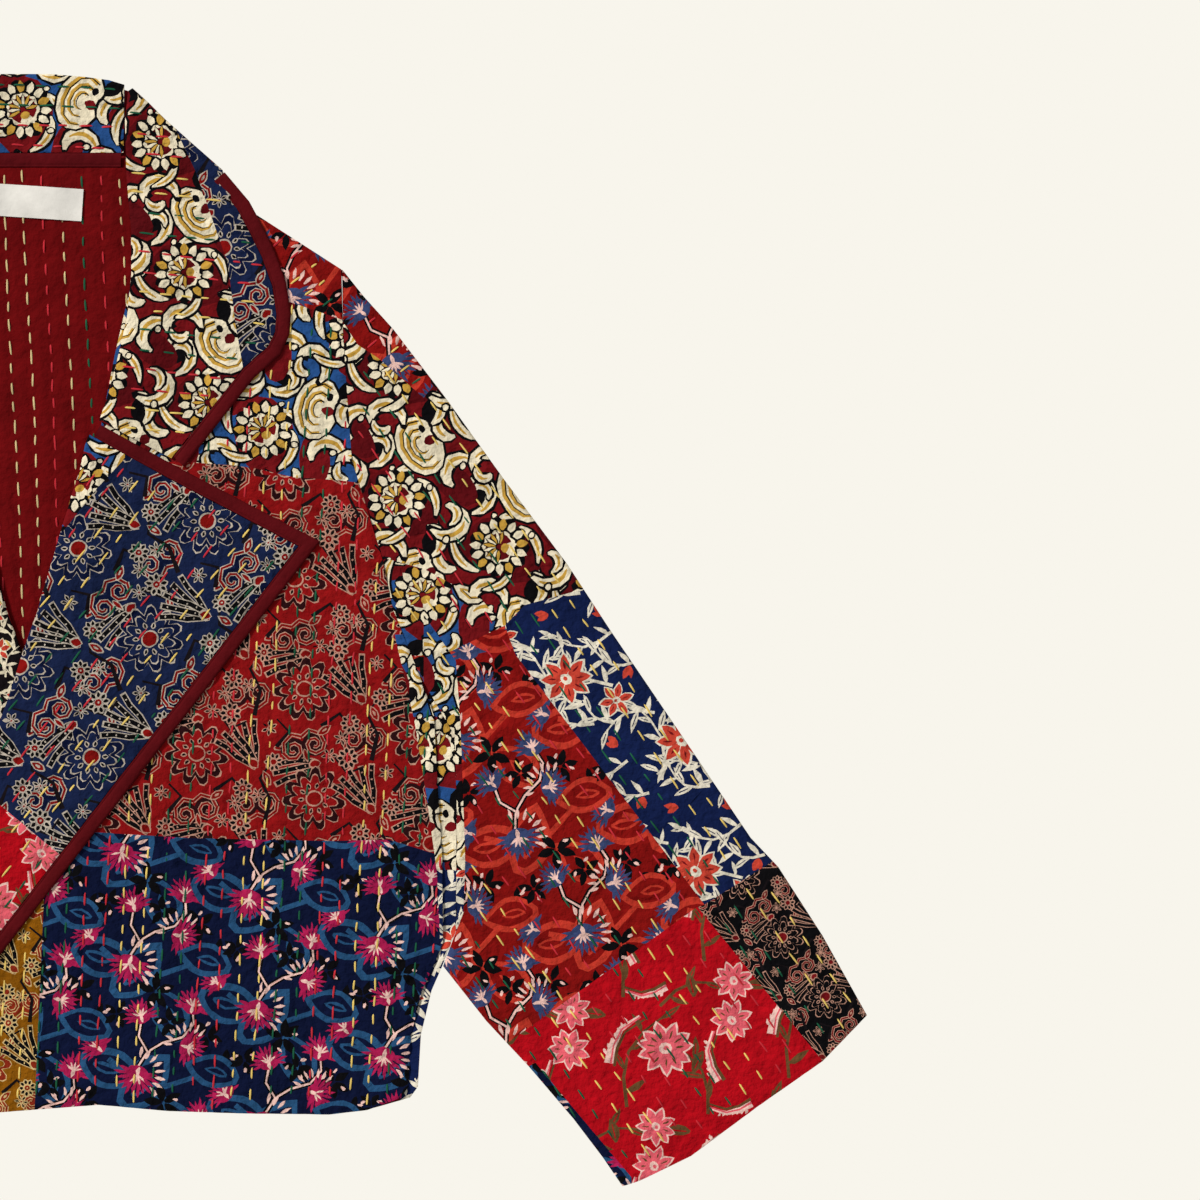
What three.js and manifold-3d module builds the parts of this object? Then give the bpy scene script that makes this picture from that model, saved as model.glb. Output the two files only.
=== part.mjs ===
// A patchwork kantha jacket laid face up on a flat surface, with a folded notched collar.
// Millimetres. +X is the wearer's left, +Y runs towards the neck, +Z is up.
// The origin is under the middle of the whole garment, on the surface that it lies on.
import * as THREE from "three";
import Module from "manifold-3d";

const wasm = await Module();
wasm.setup();

// Cloth and quilting
const CLOTH = 1.5; // quilted wall, without the puff between rows
const PUFF = 0.5; // how far the cloth rises between two rows of stitching
const LINING = 1.0;
const ROW = 12.7; // from one row of stitching to the next
const SEAM = 0.3; // gap between pieces that are sewn together
const LAY = 0.6; // gap under a panel that lies on another
const BAND_WIDTH = 9;
const BAND_THICK = 2.2;
const LEAN = THREE.MathUtils.degToRad(3); // rows on the fronts lean in towards the hem

// Levels
const COLLAR_LIFT = CLOTH + 0.4; // the neck lies on the hidden half of the collar
const LINING_LIFT = LINING + 0.9; // the fronts lie on the lining beside the neck
const LAPEL_STEP = CLOTH + PUFF + 0.5; // a lapel lies on its own front
const OVERLAP = 2 * LAPEL_STEP + 0.4; // the left front lies on the right front and lapel
const SLEEVE_HOLLOW = 0.5;
const FOLD_ROUND = 1.4; // how far a fold's crown drops at its edge
const LEAF_ROWS = 6;
const STAND_ROWS = 5;

// Folds and ramps
const LINING_FADE = [-150, -48];
const FOLD_INSIDE = 2.6; // from the roll line to the inside of the fold
const LINING_MARGIN = 12; // lining that runs on under the fronts
const LINING_END_Y = -42;
const COLLAR_RAMP = [185, 278];
const LINING_RAMP = [15, 60];
const OVERLAP_RAMP = [8, 105];
const NECK_SEAM_Y = 308;
const COLLAR_FALL_Y = 283; // lower edge of the hidden half of the collar
const LABEL = { width: 69, height: 21, thick: 0.8, x: 4.6, y: 280, turn: -3.8 };

// Outlines of the left half, each row a point of the cut as it lies
const rollLine = [
  { x: -97, y: -319 }, { x: -16, y: -63 }, { x: -9, y: -45 }, { x: -1, y: -19 },
  { x: 11, y: 16 }, { x: 20, y: 47 }, { x: 32, y: 88 }, { x: 37, y: 103 }, { x: 48, y: 134 },
];
const hem = [
  { x: -97, y: -319 }, { x: -16, y: -315 }, { x: 50, y: -310 }, { x: 96, y: -314 },
  { x: 149, y: -316 }, { x: 200, y: -317 }, { x: 225, y: -314 }, { x: 253, y: -306 },
];
const armhole = [
  { x: 208, y: 236 }, { x: 209, y: 197 }, { x: 212, y: 151 }, { x: 215, y: 111 },
  { x: 225, y: 79 }, { x: 235, y: 46 }, { x: 242, y: 13 }, { x: 259, y: -29 }, { x: 282, y: -69 },
];
const side = [
  { x: 283.4, y: -111 }, { x: 283, y: -197 }, { x: 274, y: -220 }, { x: 267, y: -236 },
  { x: 260, y: -265 }, { x: 258, y: -299 },
];
const frontNeck = [{ x: 60, y: 180 }, { x: 74, y: 240 }, { x: 82, y: 304 }];
const shoulder = [{ x: 152, y: 272 }, { x: 208, y: 236 }];
const sideSeam = [
  { x: 268.6, y: -56 }, { x: 271, y: -100 }, { x: 274, y: -148 }, { x: 274.6, y: -203 },
];
const frontSideLow = [
  { x: 247, y: -306 }, { x: 251.8, y: -299 }, { x: 253.6, y: -265 }, { x: 260.8, y: -236 },
  { x: 268.2, y: -220 }, { x: 274, y: -206 },
];
const sleeveTop = [
  { x: 208, y: 236 }, { x: 223, y: 218 }, { x: 242, y: 197 }, { x: 277, y: 151 },
  { x: 315, y: 98 }, { x: 356, y: 43 }, { x: 384, y: 0 }, { x: 439, y: -81 },
  { x: 476, y: -136 }, { x: 494, y: -155 }, { x: 523, y: -200 }, { x: 552, y: -252 },
];
const cuff = [
  { x: 392, y: -364 }, { x: 404, y: -360 }, { x: 437, y: -344 }, { x: 480, y: -312 },
  { x: 523, y: -282 }, { x: 552, y: -252 },
];
const sleeveLow = [
  { x: 274, y: -220 }, { x: 303, y: -256 }, { x: 331, y: -286 }, { x: 360, y: -320 },
  { x: 379, y: -345 }, { x: 392, y: -364 },
];
const lapelEdge = [
  { x: 51, y: 134 }, { x: 100, y: 107 }, { x: 146, y: 83 }, { x: 194, y: 58 },
  { x: -93, y: -314 },
];
const collarRoll = [
  { x: 46, y: 138 }, { x: 56, y: 155 }, { x: 63, y: 182 }, { x: 68, y: 204 }, { x: 71, y: 232 },
  { x: 71, y: 262 }, { x: 68, y: 295 }, { x: 67, y: 333 }, { x: 69, y: 352 },
];
const collarEdge = [
  { x: 106, y: 108 }, { x: 151, y: 165 }, { x: 168, y: 180 }, { x: 174, y: 193 },
  { x: 175, y: 207 }, { x: 172, y: 227 }, { x: 165, y: 247 }, { x: 155, y: 267 },
  { x: 148, y: 280 }, { x: 132, y: 299 },
];
const collarRidge = [
  { x: 132, y: 299 }, { x: 111, y: 318 }, { x: 93, y: 334 }, { x: 82, y: 345 }, { x: 72, y: 354 },
];
const collarTop = [{ x: 0, y: 364 }, { x: 18, y: 364 }, { x: 41, y: 362 }, { x: 56, y: 360 },
  { x: 66, y: 357 }];

// Colours of the cloth
const cloths = {
  maroon: 0x6e1116, kalamkari: 0x7d4a3a, navy: 0x27325f, red: 0x9a1f1c,
  sleeve: 0x8b2420, white: 0xf2efe6, binding: 0x641019,
};

const smooth = (from, to, value) => THREE.MathUtils.smoothstep(value, from, to);
const mirrored = (points) => points.map(({ x, y }) => ({ x: -x, y })).reverse();
const shifted = (points, dx, dy) => points.map(({ x, y }) => ({ x: x + dx, y: y + dy }));

// The value of one coordinate of a table at a place along the other one.
function lookUp(table, along, wanted, place) {
  const rows = [...table].sort((a, b) => a[along] - b[along]);
  if (place <= rows[0][along]) return rows[0][wanted];
  for (let k = 1; k < rows.length; k += 1) {
    if (place <= rows[k][along]) {
      const share = (place - rows[k - 1][along]) / (rows[k][along] - rows[k - 1][along]);
      return THREE.MathUtils.lerp(rows[k - 1][wanted], rows[k][wanted], share);
    }
  }
  return rows[rows.length - 1][wanted];
}

const rollX = (y) => lookUp(rollLine.concat(collarRoll), "y", "x", y);

// Height of the underside of the back at a place.
const underBack = (x, y) => COLLAR_LIFT * smooth(...COLLAR_RAMP, y);

// Height of the underside of a front. The left one also climbs over the right one.
function frontUnder(isLeft, x, y) {
  const beside = Math.abs(x) - rollX(y);
  const onLining = (1 - smooth(...LINING_RAMP, beside)) * smooth(...LINING_FADE, y);
  const past = x + rollX(y);
  const onFront = isLeft ? 1 - smooth(...OVERLAP_RAMP, past) : 0;
  return underBack(x, y) + CLOTH + LAY + LINING_LIFT * onLining + OVERLAP * onFront;
}

// Turns every face the same way round as its neighbours, and the whole body outwards.
function oriented(positions, faces) {
  const byEdge = new Map();
  faces.forEach((face, f) => {
    for (let k = 0; k < 3; k += 1) {
      const key = [face[k], face[(k + 1) % 3]].sort((a, b) => a - b).join("_");
      byEdge.set(key, (byEdge.get(key) ?? []).concat(f));
    }
  });
  const done = new Set([0]);
  const queue = [0];
  while (queue.length > 0) {
    const face = faces[queue.pop()];
    for (let k = 0; k < 3; k += 1) {
      const [a, b] = [face[k], face[(k + 1) % 3]];
      for (const other of byEdge.get([a, b].sort((p, q) => p - q).join("_"))) {
        if (done.has(other)) continue;
        const next = faces[other];
        if (next[(next.indexOf(a) + 1) % 3] === b) next.reverse();
        done.add(other);
        queue.push(other);
      }
    }
  }
  const volume = faces.reduce((sum, [a, b, c]) =>
    sum + positions[a].dot(new THREE.Vector3().crossVectors(positions[b], positions[c])), 0);
  if (volume < 0) faces.forEach((face) => face.reverse());
  return faces;
}

function bodyOf(positions, faces) {
  const geometry = new THREE.BufferGeometry().setFromPoints(positions);
  geometry.setIndex(oriented(positions, faces).flat());
  geometry.computeVertexNormals();
  return geometry;
}

// Two triangles for each cell of a grid of point numbers.
function gridFaces(at, rows, columns) {
  const faces = [];
  for (let i = 0; i < rows - 1; i += 1) {
    for (let j = 0; j < columns - 1; j += 1) {
      faces.push([at(i, j), at(i, j + 1), at(i + 1, j + 1)], [at(i, j), at(i + 1, j + 1), at(i + 1, j)]);
    }
  }
  return faces;
}

// Triangles between two lines of points, each point a number and its share of the way.
function bridgeFaces(first, second) {
  const faces = [];
  let [a, b] = [0, 0];
  while (a < first.length - 1 || b < second.length - 1) {
    const nextA = a < first.length - 1 ? first[a + 1].share : Infinity;
    const nextB = b < second.length - 1 ? second[b + 1].share : Infinity;
    if (nextA <= nextB) {
      faces.push([first[a].id, first[a + 1].id, second[b].id]);
      a += 1;
    } else {
      faces.push([first[a].id, second[b + 1].id, second[b].id]);
      b += 1;
    }
  }
  return faces;
}

// Evenly spaced places from start to end that also stop at each corner of the outline.
function placesWithCorners(start, end, step, corners) {
  const near = step * 0.45;
  const kept = corners.filter((corner) => corner > start + step / 6 && corner < end - step / 6);
  for (let place = Math.ceil(start / step) * step; place < end - near; place += step) {
    if (place > start + near && !corners.some((corner) => Math.abs(corner - place) < near)) kept.push(place);
  }
  const least = Math.min(0.8, step / 12);
  return [...new Set([start, ...kept, end])].sort((a, b) => a - b)
    .filter((place, k, all) => k === 0 || k === all.length - 1 || place - all[k - 1] > least);
}

// A wall of cloth cut into strips that follow the rows of stitching. Each strip runs from
// the low outline to the high outline, and the underside is plain, with fewer points.
function quiltedWall({ turn, low, high, step, rows, shares, top, bottom, trim = 1 }) {
  const across = new THREE.Vector2(Math.cos(turn), -Math.sin(turn));
  const along = new THREE.Vector2(Math.sin(turn), Math.cos(turn));
  const inStrips = (points) => points.map(({ x, y }) => ({
    q: x * across.x + y * across.y, r: x * along.x + y * along.y,
  }));
  const lowRows = inStrips(low);
  const highRows = inStrips(high);
  const ends = [lowRows, highRows].map((table) => table.map(({ q }) => q));
  const start = Math.max(...ends.map((list) => Math.min(...list))) + trim;
  const end = Math.min(...ends.map((list) => Math.max(...list))) - trim;
  const columns = placesWithCorners(start, end, step, ends.flat());
  const point = (q, r) => new THREE.Vector2().addScaledVector(across, q).addScaledVector(along, r);
  const spot = columns.map((q) => {
    const from = lookUp(lowRows, "q", "r", q);
    const to = lookUp(highRows, "q", "r", q);
    const marks = shares ? shares(to - from, rows) : [...Array(rows).keys()].map((i) => i / (rows - 1));
    return marks.map((share) => ({ q, spot: point(q, THREE.MathUtils.lerp(from, to, share)) }));
  });
  const [width, height] = [columns.length, rows];
  const positions = [];
  const put = (j, i, level) => {
    const place = spot[j][i];
    const z = level(place.spot.x, place.spot.y, place.q, i, j, width);
    positions.push(new THREE.Vector3(place.spot.x, place.spot.y, z));
    return positions.length - 1;
  };
  const topIds = spot.map((column, j) => column.map((place, i) => put(j, i, top)));
  const faces = gridFaces((i, j) => topIds[j][i], height, width);

  const border = [];
  for (let j = 0; j < width; j += 1) border.push([j, 0]);
  for (let i = 1; i < height; i += 1) border.push([width - 1, i]);
  for (let j = width - 2; j >= 0; j -= 1) border.push([j, height - 1]);
  for (let i = height - 2; i > 0; i -= 1) border.push([0, i]);
  const coarse = [];
  for (let j = 1; j < width - 2; j += 4) coarse.push(j);
  coarse.push(width - 2);
  const lowIds = new Map();
  const lowId = ([j, i]) => {
    const key = `${j}_${i}`;
    if (!lowIds.has(key)) lowIds.set(key, put(j, i, bottom));
    return lowIds.get(key);
  };
  const line = (cells, key) => cells.map((cell) => ({ id: lowId(cell), share: cell[key] }));
  const everyJ = [...Array(width).keys()];
  const everyI = [...Array(height).keys()];
  for (const [edgeI, innerI] of [[0, 1], [height - 1, height - 2]]) {
    faces.push(...bridgeFaces(line(everyJ.map((j) => [j, edgeI]), 0),
      line(coarse.map((j) => [j, innerI]), 0)));
  }
  for (const [edgeJ, innerJ] of [[0, 1], [width - 1, width - 2]]) {
    faces.push(...bridgeFaces(line(everyI.map((i) => [edgeJ, i]), 1),
      line(everyI.slice(1, -1).map((i) => [innerJ, i]), 1)));
  }
  faces.push(...gridFaces((i, k) => lowId([coarse[k], i + 1]), height - 2, coarse.length));
  border.forEach(([j, i], k) => {
    const [nextJ, nextI] = border[(k + 1) % border.length];
    const [a, b] = [topIds[j][i], topIds[nextJ][nextI]];
    const [c, d] = [lowId([j, i]), lowId([nextJ, nextI])];
    faces.push([a, b, d], [a, d, c]);
  });
  return bodyOf(positions, faces);
}

// The cloth rises between rows of stitching that lie a set distance apart.
const puffed = (q) => PUFF * Math.abs(Math.sin((Math.PI * q) / ROW));

// Swaps a piece of the left half for its mirror image.
function mirrorOf(geometry) {
  const copy = geometry.clone();
  copy.scale(-1, 1, 1);
  const index = copy.getIndex().array;
  for (let k = 0; k < index.length; k += 3) [index[k], index[k + 2]] = [index[k + 2], index[k]];
  copy.computeVertexNormals();
  return copy;
}

// A point a share of the way along a line of points.
function alongLine(points, share) {
  const lengths = [0];
  for (let k = 1; k < points.length; k += 1) {
    lengths.push(lengths[k - 1] + Math.hypot(points[k].x - points[k - 1].x, points[k].y - points[k - 1].y));
  }
  const place = share * lengths[lengths.length - 1];
  const k = Math.max(1, lengths.findIndex((length) => length >= place - 1e-9));
  const part = (place - lengths[k - 1]) / (lengths[k] - lengths[k - 1]);
  return {
    x: THREE.MathUtils.lerp(points[k - 1].x, points[k].x, part),
    y: THREE.MathUtils.lerp(points[k - 1].y, points[k].y, part),
  };
}

// For each point of a line, the way to the same point of a line one millimetre to its right.
function mitres(stops) {
  return stops.map((stop, k) => {
    const into = stop.clone().sub(stops[Math.max(0, k - 1)]).normalize();
    const away = stops[Math.min(stops.length - 1, k + 1)].clone().sub(stop).normalize();
    const first = k === 0 ? away : into;
    const last = k === stops.length - 1 ? into : away;
    const normal = new THREE.Vector2(first.y + last.y, -first.x - last.x).normalize();
    return normal.multiplyScalar(1 / Math.max(0.5, normal.dot(new THREE.Vector2(first.y, -first.x))));
  });
}

function insetLine(points, distance) {
  const stops = points.map(({ x, y }) => new THREE.Vector2(x, y));
  return mitres(stops).map((way, k) => {
    const { x, y } = stops[k].clone().addScaledVector(way, distance);
    return { x, y };
  });
}

// A folded strip of binding along an edge. Its outer side follows the path.
function bindingBand(path, width, under, thick, step) {
  const stops = [];
  for (let k = 0; k < path.length - 1; k += 1) {
    const length = Math.hypot(path[k + 1].x - path[k].x, path[k + 1].y - path[k].y);
    const parts = Math.max(1, Math.round(length / step));
    for (let part = 0; part < parts; part += 1) {
      stops.push(new THREE.Vector2(path[k].x, path[k].y)
        .lerp(new THREE.Vector2(path[k + 1].x, path[k + 1].y), part / parts));
    }
  }
  stops.push(new THREE.Vector2(path[path.length - 1].x, path[path.length - 1].y));
  const inward = mitres(stops);
  const section = [
    { inset: 1, height: 0 }, { inset: 0.03, height: 0 }, { inset: 0, height: 0.5 },
    { inset: 0.12, height: 0.95 }, { inset: 0.5, height: 1 }, { inset: 1, height: 0.85 },
  ];
  const positions = [];
  stops.forEach((stop, k) => section.forEach(({ inset, height }) => {
    const spot = stop.clone().addScaledVector(inward[k], inset * width);
    positions.push(new THREE.Vector3(spot.x, spot.y, under(spot.x, spot.y) + height * thick));
  }));
  const sides = section.length;
  const faces = [];
  for (let k = 0; k < stops.length - 1; k += 1) {
    for (let s = 0; s < sides; s += 1) {
      const [a, b] = [k * sides + s, k * sides + ((s + 1) % sides)];
      faces.push([a, b, b + sides], [a, b + sides, a + sides]);
    }
  }
  const last = (stops.length - 1) * sides;
  for (let s = 1; s < sides - 1; s += 1) faces.push([0, s, s + 1], [last, last + s, last + s + 1]);
  return bodyOf(positions, faces);
}

function joined(...geometries) {
  const solids = geometries.map((geometry) => new wasm.Manifold(new wasm.Mesh({
    numProp: 3,
    vertProperties: new Float32Array(geometry.getAttribute("position").array),
    triVerts: new Uint32Array(geometry.getIndex().array),
  })));
  const mesh = solids.reduce((whole, solid) => whole.add(solid)).getMesh();
  const geometry = new THREE.BufferGeometry();
  geometry.setAttribute("position", new THREE.BufferAttribute(mesh.vertProperties, 3));
  geometry.setIndex(new THREE.BufferAttribute(mesh.triVerts, 1));
  geometry.computeVertexNormals();
  return geometry;
}

// The back, one plain panel whose side edges turn up and over onto the front.
function backPanel() {
  const halfTop = [{ x: 0, y: NECK_SEAM_Y }, { x: 66, y: NECK_SEAM_Y }, { x: 82, y: 304 },
    ...shoulder, ...armhole.slice(1), side[0]];
  const halfHem = [{ x: 0, y: -311 }, ...hem.slice(2), ...side.slice().reverse().slice(0, -1),
    { x: 283.4, y: -190 }];
  const panel = quiltedWall({
    turn: 0, step: 34, rows: 13, trim: 0.2,
    low: mirrored(halfHem).concat(halfHem.slice(1)), high: mirrored(halfTop).concat(halfTop.slice(1)),
    top: (x, y) => underBack(x, y) + CLOTH, bottom: underBack,
  });
  const lipPath = [{ x: 281.2, y: -76 }, { x: 283, y: -111 }, { x: 282.8, y: -196.6 },
    { x: 273.6, y: -220 }, { x: 266.6, y: -236 }, { x: 259.6, y: -265 }, { x: 257.4, y: -298 }];
  const lip = bindingBand(lipPath, 3.4, () => CLOTH / 2, CLOTH * 2 + LAY - CLOTH / 2, 60);
  return joined(panel, lip, mirrorOf(lip));
}

function frontPanel(isLeft) {
  const edge = shifted(rollLine, FOLD_INSIDE + 0.6, 0);
  const hemEdge = [edge[0], ...hem.slice(1, -1), ...frontSideLow];
  return quiltedWall({
    turn: LEAN, step: ROW / 2, rows: 13,
    low: hemEdge,
    high: [...edge, ...frontNeck, ...shoulder, ...armhole.slice(1, -1), ...sideSeam],
    top: (x, y, q) => frontUnder(isLeft, x, y) + CLOTH + puffed(q),
    bottom: (x, y) => frontUnder(isLeft, x, y),
  });
}

const lapelUnder = (isLeft) => (x, y) => frontUnder(isLeft, x, y) + LAPEL_STEP;

// A lapel, with its rows along the outer edge and its fold wrapping the front's edge.
function lapelPanel(isLeft) {
  const inner = insetLine(lapelEdge, BAND_WIDTH + SEAM + 0.3);
  const [end, tip] = [inner[inner.length - 1], inner[inner.length - 2]];
  const turn = Math.atan2(tip.x - end.x, tip.y - end.y);
  const folded = rollLine.filter(({ y }) => y > -315 && y < 110);
  const foldLength = FOLD_INSIDE / Math.sin(THREE.MathUtils.degToRad(19));
  return quiltedWall({
    turn, step: ROW / 2, rows: 13, trim: 1.5,
    low: [end, ...folded, { x: 41, y: 122 }],
    high: inner.slice(0, -1).reverse(),
    shares: (length, rows) => {
      const first = Math.min(0.3, foldLength / length);
      return [0, ...[...Array(rows - 1).keys()].map((i) => first + ((1 - first) * i) / (rows - 2))];
    },
    top: (x, y, q, i) => lapelUnder(isLeft)(x, y) + CLOTH + (i === 0 ? -0.8 : puffed(q)),
    bottom: (x, y, q, i) => (i === 0 ? frontUnder(isLeft, x, y) : lapelUnder(isLeft)(x, y)),
  });
}

const lapelBinding = (isLeft) => bindingBand(lapelEdge, BAND_WIDTH, lapelUnder(isLeft), BAND_THICK, 26);

// One leaf of the collar. Its rows run across, and it turns down over the shoulder ridge.
function collarLeaf(isLeft) {
  const inner = insetLine([...collarEdge].reverse(), BAND_WIDTH + SEAM).reverse().slice(0, -1);
  const rising = inner.filter(({ y }, k) => (k === 0 || y > inner[k - 1].y + 0.5) && y < 286);
  const gorge = [{ x: 97, y: 112.4 }, { x: 50, y: 137 }];
  const onRidge = (y, i) => i === LEAF_ROWS - 1 && y > collarRidge[0].y;
  return quiltedWall({
    turn: Math.PI / 2, step: ROW / 2, rows: LEAF_ROWS, trim: 1.2,
    low: [...gorge, ...collarRoll.slice(1)],
    high: [{ x: 98, y: 112.4 }, ...rising.slice(1), { x: 123.6, y: 291.6 }, { x: 130.6, y: 300.8 },
      ...collarRidge.slice(1)],
    shares: (length, rows) => {
      const last = 1 - Math.min(0.3, FOLD_INSIDE / length);
      return [...[...Array(rows - 1).keys()].map((i) => (last * i) / (rows - 2)), 1];
    },
    top: (x, y, q, i) => lapelUnder(isLeft)(x, y) + CLOTH + (onRidge(y, i) ? -FOLD_ROUND : puffed(q)),
    bottom: (x, y, q, i) => (onRidge(y, i) ? 0 : lapelUnder(isLeft)(x, y)),
  });
}

const collarBinding = (isLeft) => bindingBand([...collarEdge].reverse().concat([{ x: 106, y: 109 }]),
  BAND_WIDTH, lapelUnder(isLeft), BAND_THICK, 22);

// The collar's stand behind the neck. It turns down over the top edge.
function collarStand() {
  const low = [{ x: -65.6, y: 312.4 }, { x: 65.6, y: 312.4 }];
  const high = mirrored(collarTop).concat(collarTop.slice(1));
  return quiltedWall({
    turn: 0, step: ROW / 2, rows: STAND_ROWS, trim: 0.4, low, high,
    shares: (length, rows) => {
      const last = 1 - FOLD_INSIDE / length;
      return [...[...Array(rows - 1).keys()].map((i) => (last * i) / (rows - 2)), 1];
    },
    top: (x, y, q, i) => COLLAR_LIFT + CLOTH + (i === STAND_ROWS - 1 ? -FOLD_ROUND : puffed(q)),
    bottom: (x, y, q, i) => (i === STAND_ROWS - 1 ? 0 : COLLAR_LIFT),
  });
}

// The half of the collar that is folded away under the neck, plain and flat.
function collarFall() {
  const ridge = collarRidge.map(({ x, y }) => ({ x: x - 1.6, y: y - 1.6 })).reverse();
  const half = [{ x: 0, y: 361.2 }, { x: 41, y: 359.4 }, { x: 62, y: 355 }, ...ridge];
  const shape = new THREE.Shape([...mirrored(half), ...half.slice(1), { x: 128, y: COLLAR_FALL_Y },
    { x: -128, y: COLLAR_FALL_Y }].reverse().map(({ x, y }) => new THREE.Vector2(x, y)));
  return new THREE.ExtrudeGeometry(shape, { depth: CLOTH, bevelEnabled: false });
}

const liningTop = (x, y) => underBack(x, y) + CLOTH + 0.5 + LINING;

// The back's lining where it shows in the neck, with a margin under the fronts.
function neckLining() {
  const side = [...rollLine.filter(({ y }) => y > -20), ...collarRoll.filter(({ y }) => y > 150 && y < 300)]
    .map(({ x, y }) => ({ x: x + LINING_MARGIN, y }));
  const right = [{ x: 0, y: LINING_END_Y }, ...side, { x: 80.5, y: 288 }];
  return quiltedWall({
    turn: 0, step: ROW / 2, rows: 11, trim: 1.5,
    low: mirrored(right).concat(right.slice(1)),
    high: [{ x: -82, y: NECK_SEAM_Y - 10 }, { x: -66, y: NECK_SEAM_Y - 5.6 },
      { x: 66, y: NECK_SEAM_Y - 5.6 }, { x: 82, y: NECK_SEAM_Y - 10 }],
    top: (x, y, q) => liningTop(x, y) + 0.6 * puffed(q), bottom: (x, y) => liningTop(x, y) - LINING,
  });
}

const neckBinding = () => bindingBand([{ x: -64, y: 311.8 }, { x: 64, y: 311.8 }], BAND_WIDTH,
  () => COLLAR_LIFT + CLOTH + SEAM + 0.2, BAND_THICK * 0.8, 32);

function blankLabel() {
  const geometry = new THREE.BoxGeometry(LABEL.width, LABEL.height, LABEL.thick);
  geometry.deleteAttribute("normal");
  geometry.deleteAttribute("uv");
  geometry.rotateZ(THREE.MathUtils.degToRad(LABEL.turn));
  geometry.translate(LABEL.x, LABEL.y, liningTop(LABEL.x, LABEL.y) + PUFF + 0.3 + LABEL.thick / 2);
  return geometry;
}

// A sleeve pressed flat: two walls with a thin hollow between them, open at both ends.
function sleeve() {
  const channels = 16;
  const start = shifted([...sleeveLow.slice(0, 1), { x: 283, y: -197 }, { x: 283.4, y: -111 },
    { x: 282, y: -69 }, ...armhole.slice(0, -1).reverse()], 0.6, 0);
  const lean = Math.atan2(0.56, 0.83);
  const rank = ({ x, y }) => x * Math.cos(lean) + y * Math.sin(lean);
  const ranks = start.map((point) => ({ ...point, rank: rank(point) }));
  const [first, last] = [ranks[0].rank, ranks[ranks.length - 1].rank];
  const startAt = (u) => {
    const place = THREE.MathUtils.lerp(first, last, u);
    return { x: lookUp(ranks, "rank", "x", place), y: lookUp(ranks, "rank", "y", place) };
  };
  const low = [{ x: start[0].x, y: start[0].y }, ...sleeveLow.slice(1)];
  const high = [{ x: start[start.length - 1].x, y: 236 }, ...sleeveTop.slice(1)];
  const spot = (s, u) => {
    const [a, b] = [alongLine(low, s), alongLine(high, s)];
    const [c, d] = [startAt(u), alongLine(cuff, u)];
    const blend = (key) => (1 - u) * a[key] + u * b[key] + (1 - s) * c[key] + s * d[key]
      - ((1 - s) * (1 - u) * low[0][key] + (1 - s) * u * high[0][key]
        + s * (1 - u) * cuff[0][key] + s * u * cuff[cuff.length - 1][key]);
    return new THREE.Vector2(blend("x"), blend("y"));
  };
  const corners = ranks.map((point) => (point.rank - first) / (last - first));
  const edge = 0.01;
  const cornerStops = corners.filter((u) => u > 0.02 && u < 0.98);
  const between = placesWithCorners(0, 1, 1 / (2 * channels), cornerStops).slice(1, -1);
  const fine = [0, edge, ...between, 1 - edge, 1];
  const coarse = [edge, ...placesWithCorners(0, 1, 0.2, cornerStops).slice(1, -1), 1 - edge];
  const rows = 12;
  const middle = CLOTH + SLEEVE_HOLLOW / 2;
  const positions = [];
  const put = (s, u, z) => {
    const place = spot(s, u);
    positions.push(new THREE.Vector3(place.x, place.y, z));
    return positions.length - 1;
  };
  const rowsOf = (shares, level) => [...Array(rows).keys()].map((i) =>
    shares.map((share) => ({ share, id: put(i / (rows - 1), share, level(share)) })));
  const topLevel = 2 * CLOTH + SLEEVE_HOLLOW;
  const outerTop = rowsOf(fine, (u) => {
    if (u === 0 || u === 1) return middle;
    const puff = PUFF * Math.abs(Math.sin(channels * Math.PI * u));
    return u === edge || u === 1 - edge ? topLevel - SEAM : topLevel + puff;
  });
  const folds = outerTop.map((row) => [row[0], row[row.length - 1]]);
  const outerLow = rowsOf(coarse, () => 0).map((row, i) => [folds[i][0], ...row, folds[i][1]]);
  const innerEdge = 0.022;
  const innerShares = coarse.map((u) => THREE.MathUtils.clamp(u, innerEdge, 1 - innerEdge));
  const innerTop = rowsOf(innerShares, (u) =>
    (u === innerEdge || u === 1 - innerEdge ? middle : CLOTH + SLEEVE_HOLLOW));
  const ends = innerTop.map((row) => [row[0], row[row.length - 1]]);
  const innerLow = rowsOf(innerShares.slice(1, -1), () => CLOTH)
    .map((row, i) => [ends[i][0], ...row, ends[i][1]]);
  const faces = [outerTop, outerLow, innerTop, innerLow]
    .flatMap((sheet) => gridFaces((i, j) => sheet[i][j].id, rows, sheet[0].length));
  for (const i of [0, rows - 1]) {
    faces.push(...bridgeFaces(outerTop[i], innerTop[i]), ...bridgeFaces(outerLow[i], innerLow[i]));
  }
  return bodyOf(positions, faces);
}

const jacket = new THREE.Group();

function addPiece(name, geometry, color, roughness = 0.9) {
  const piece = new THREE.Mesh(geometry, new THREE.MeshStandardMaterial({ color, roughness, metalness: 0 }));
  piece.name = name;
  jacket.add(piece);
}

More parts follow.
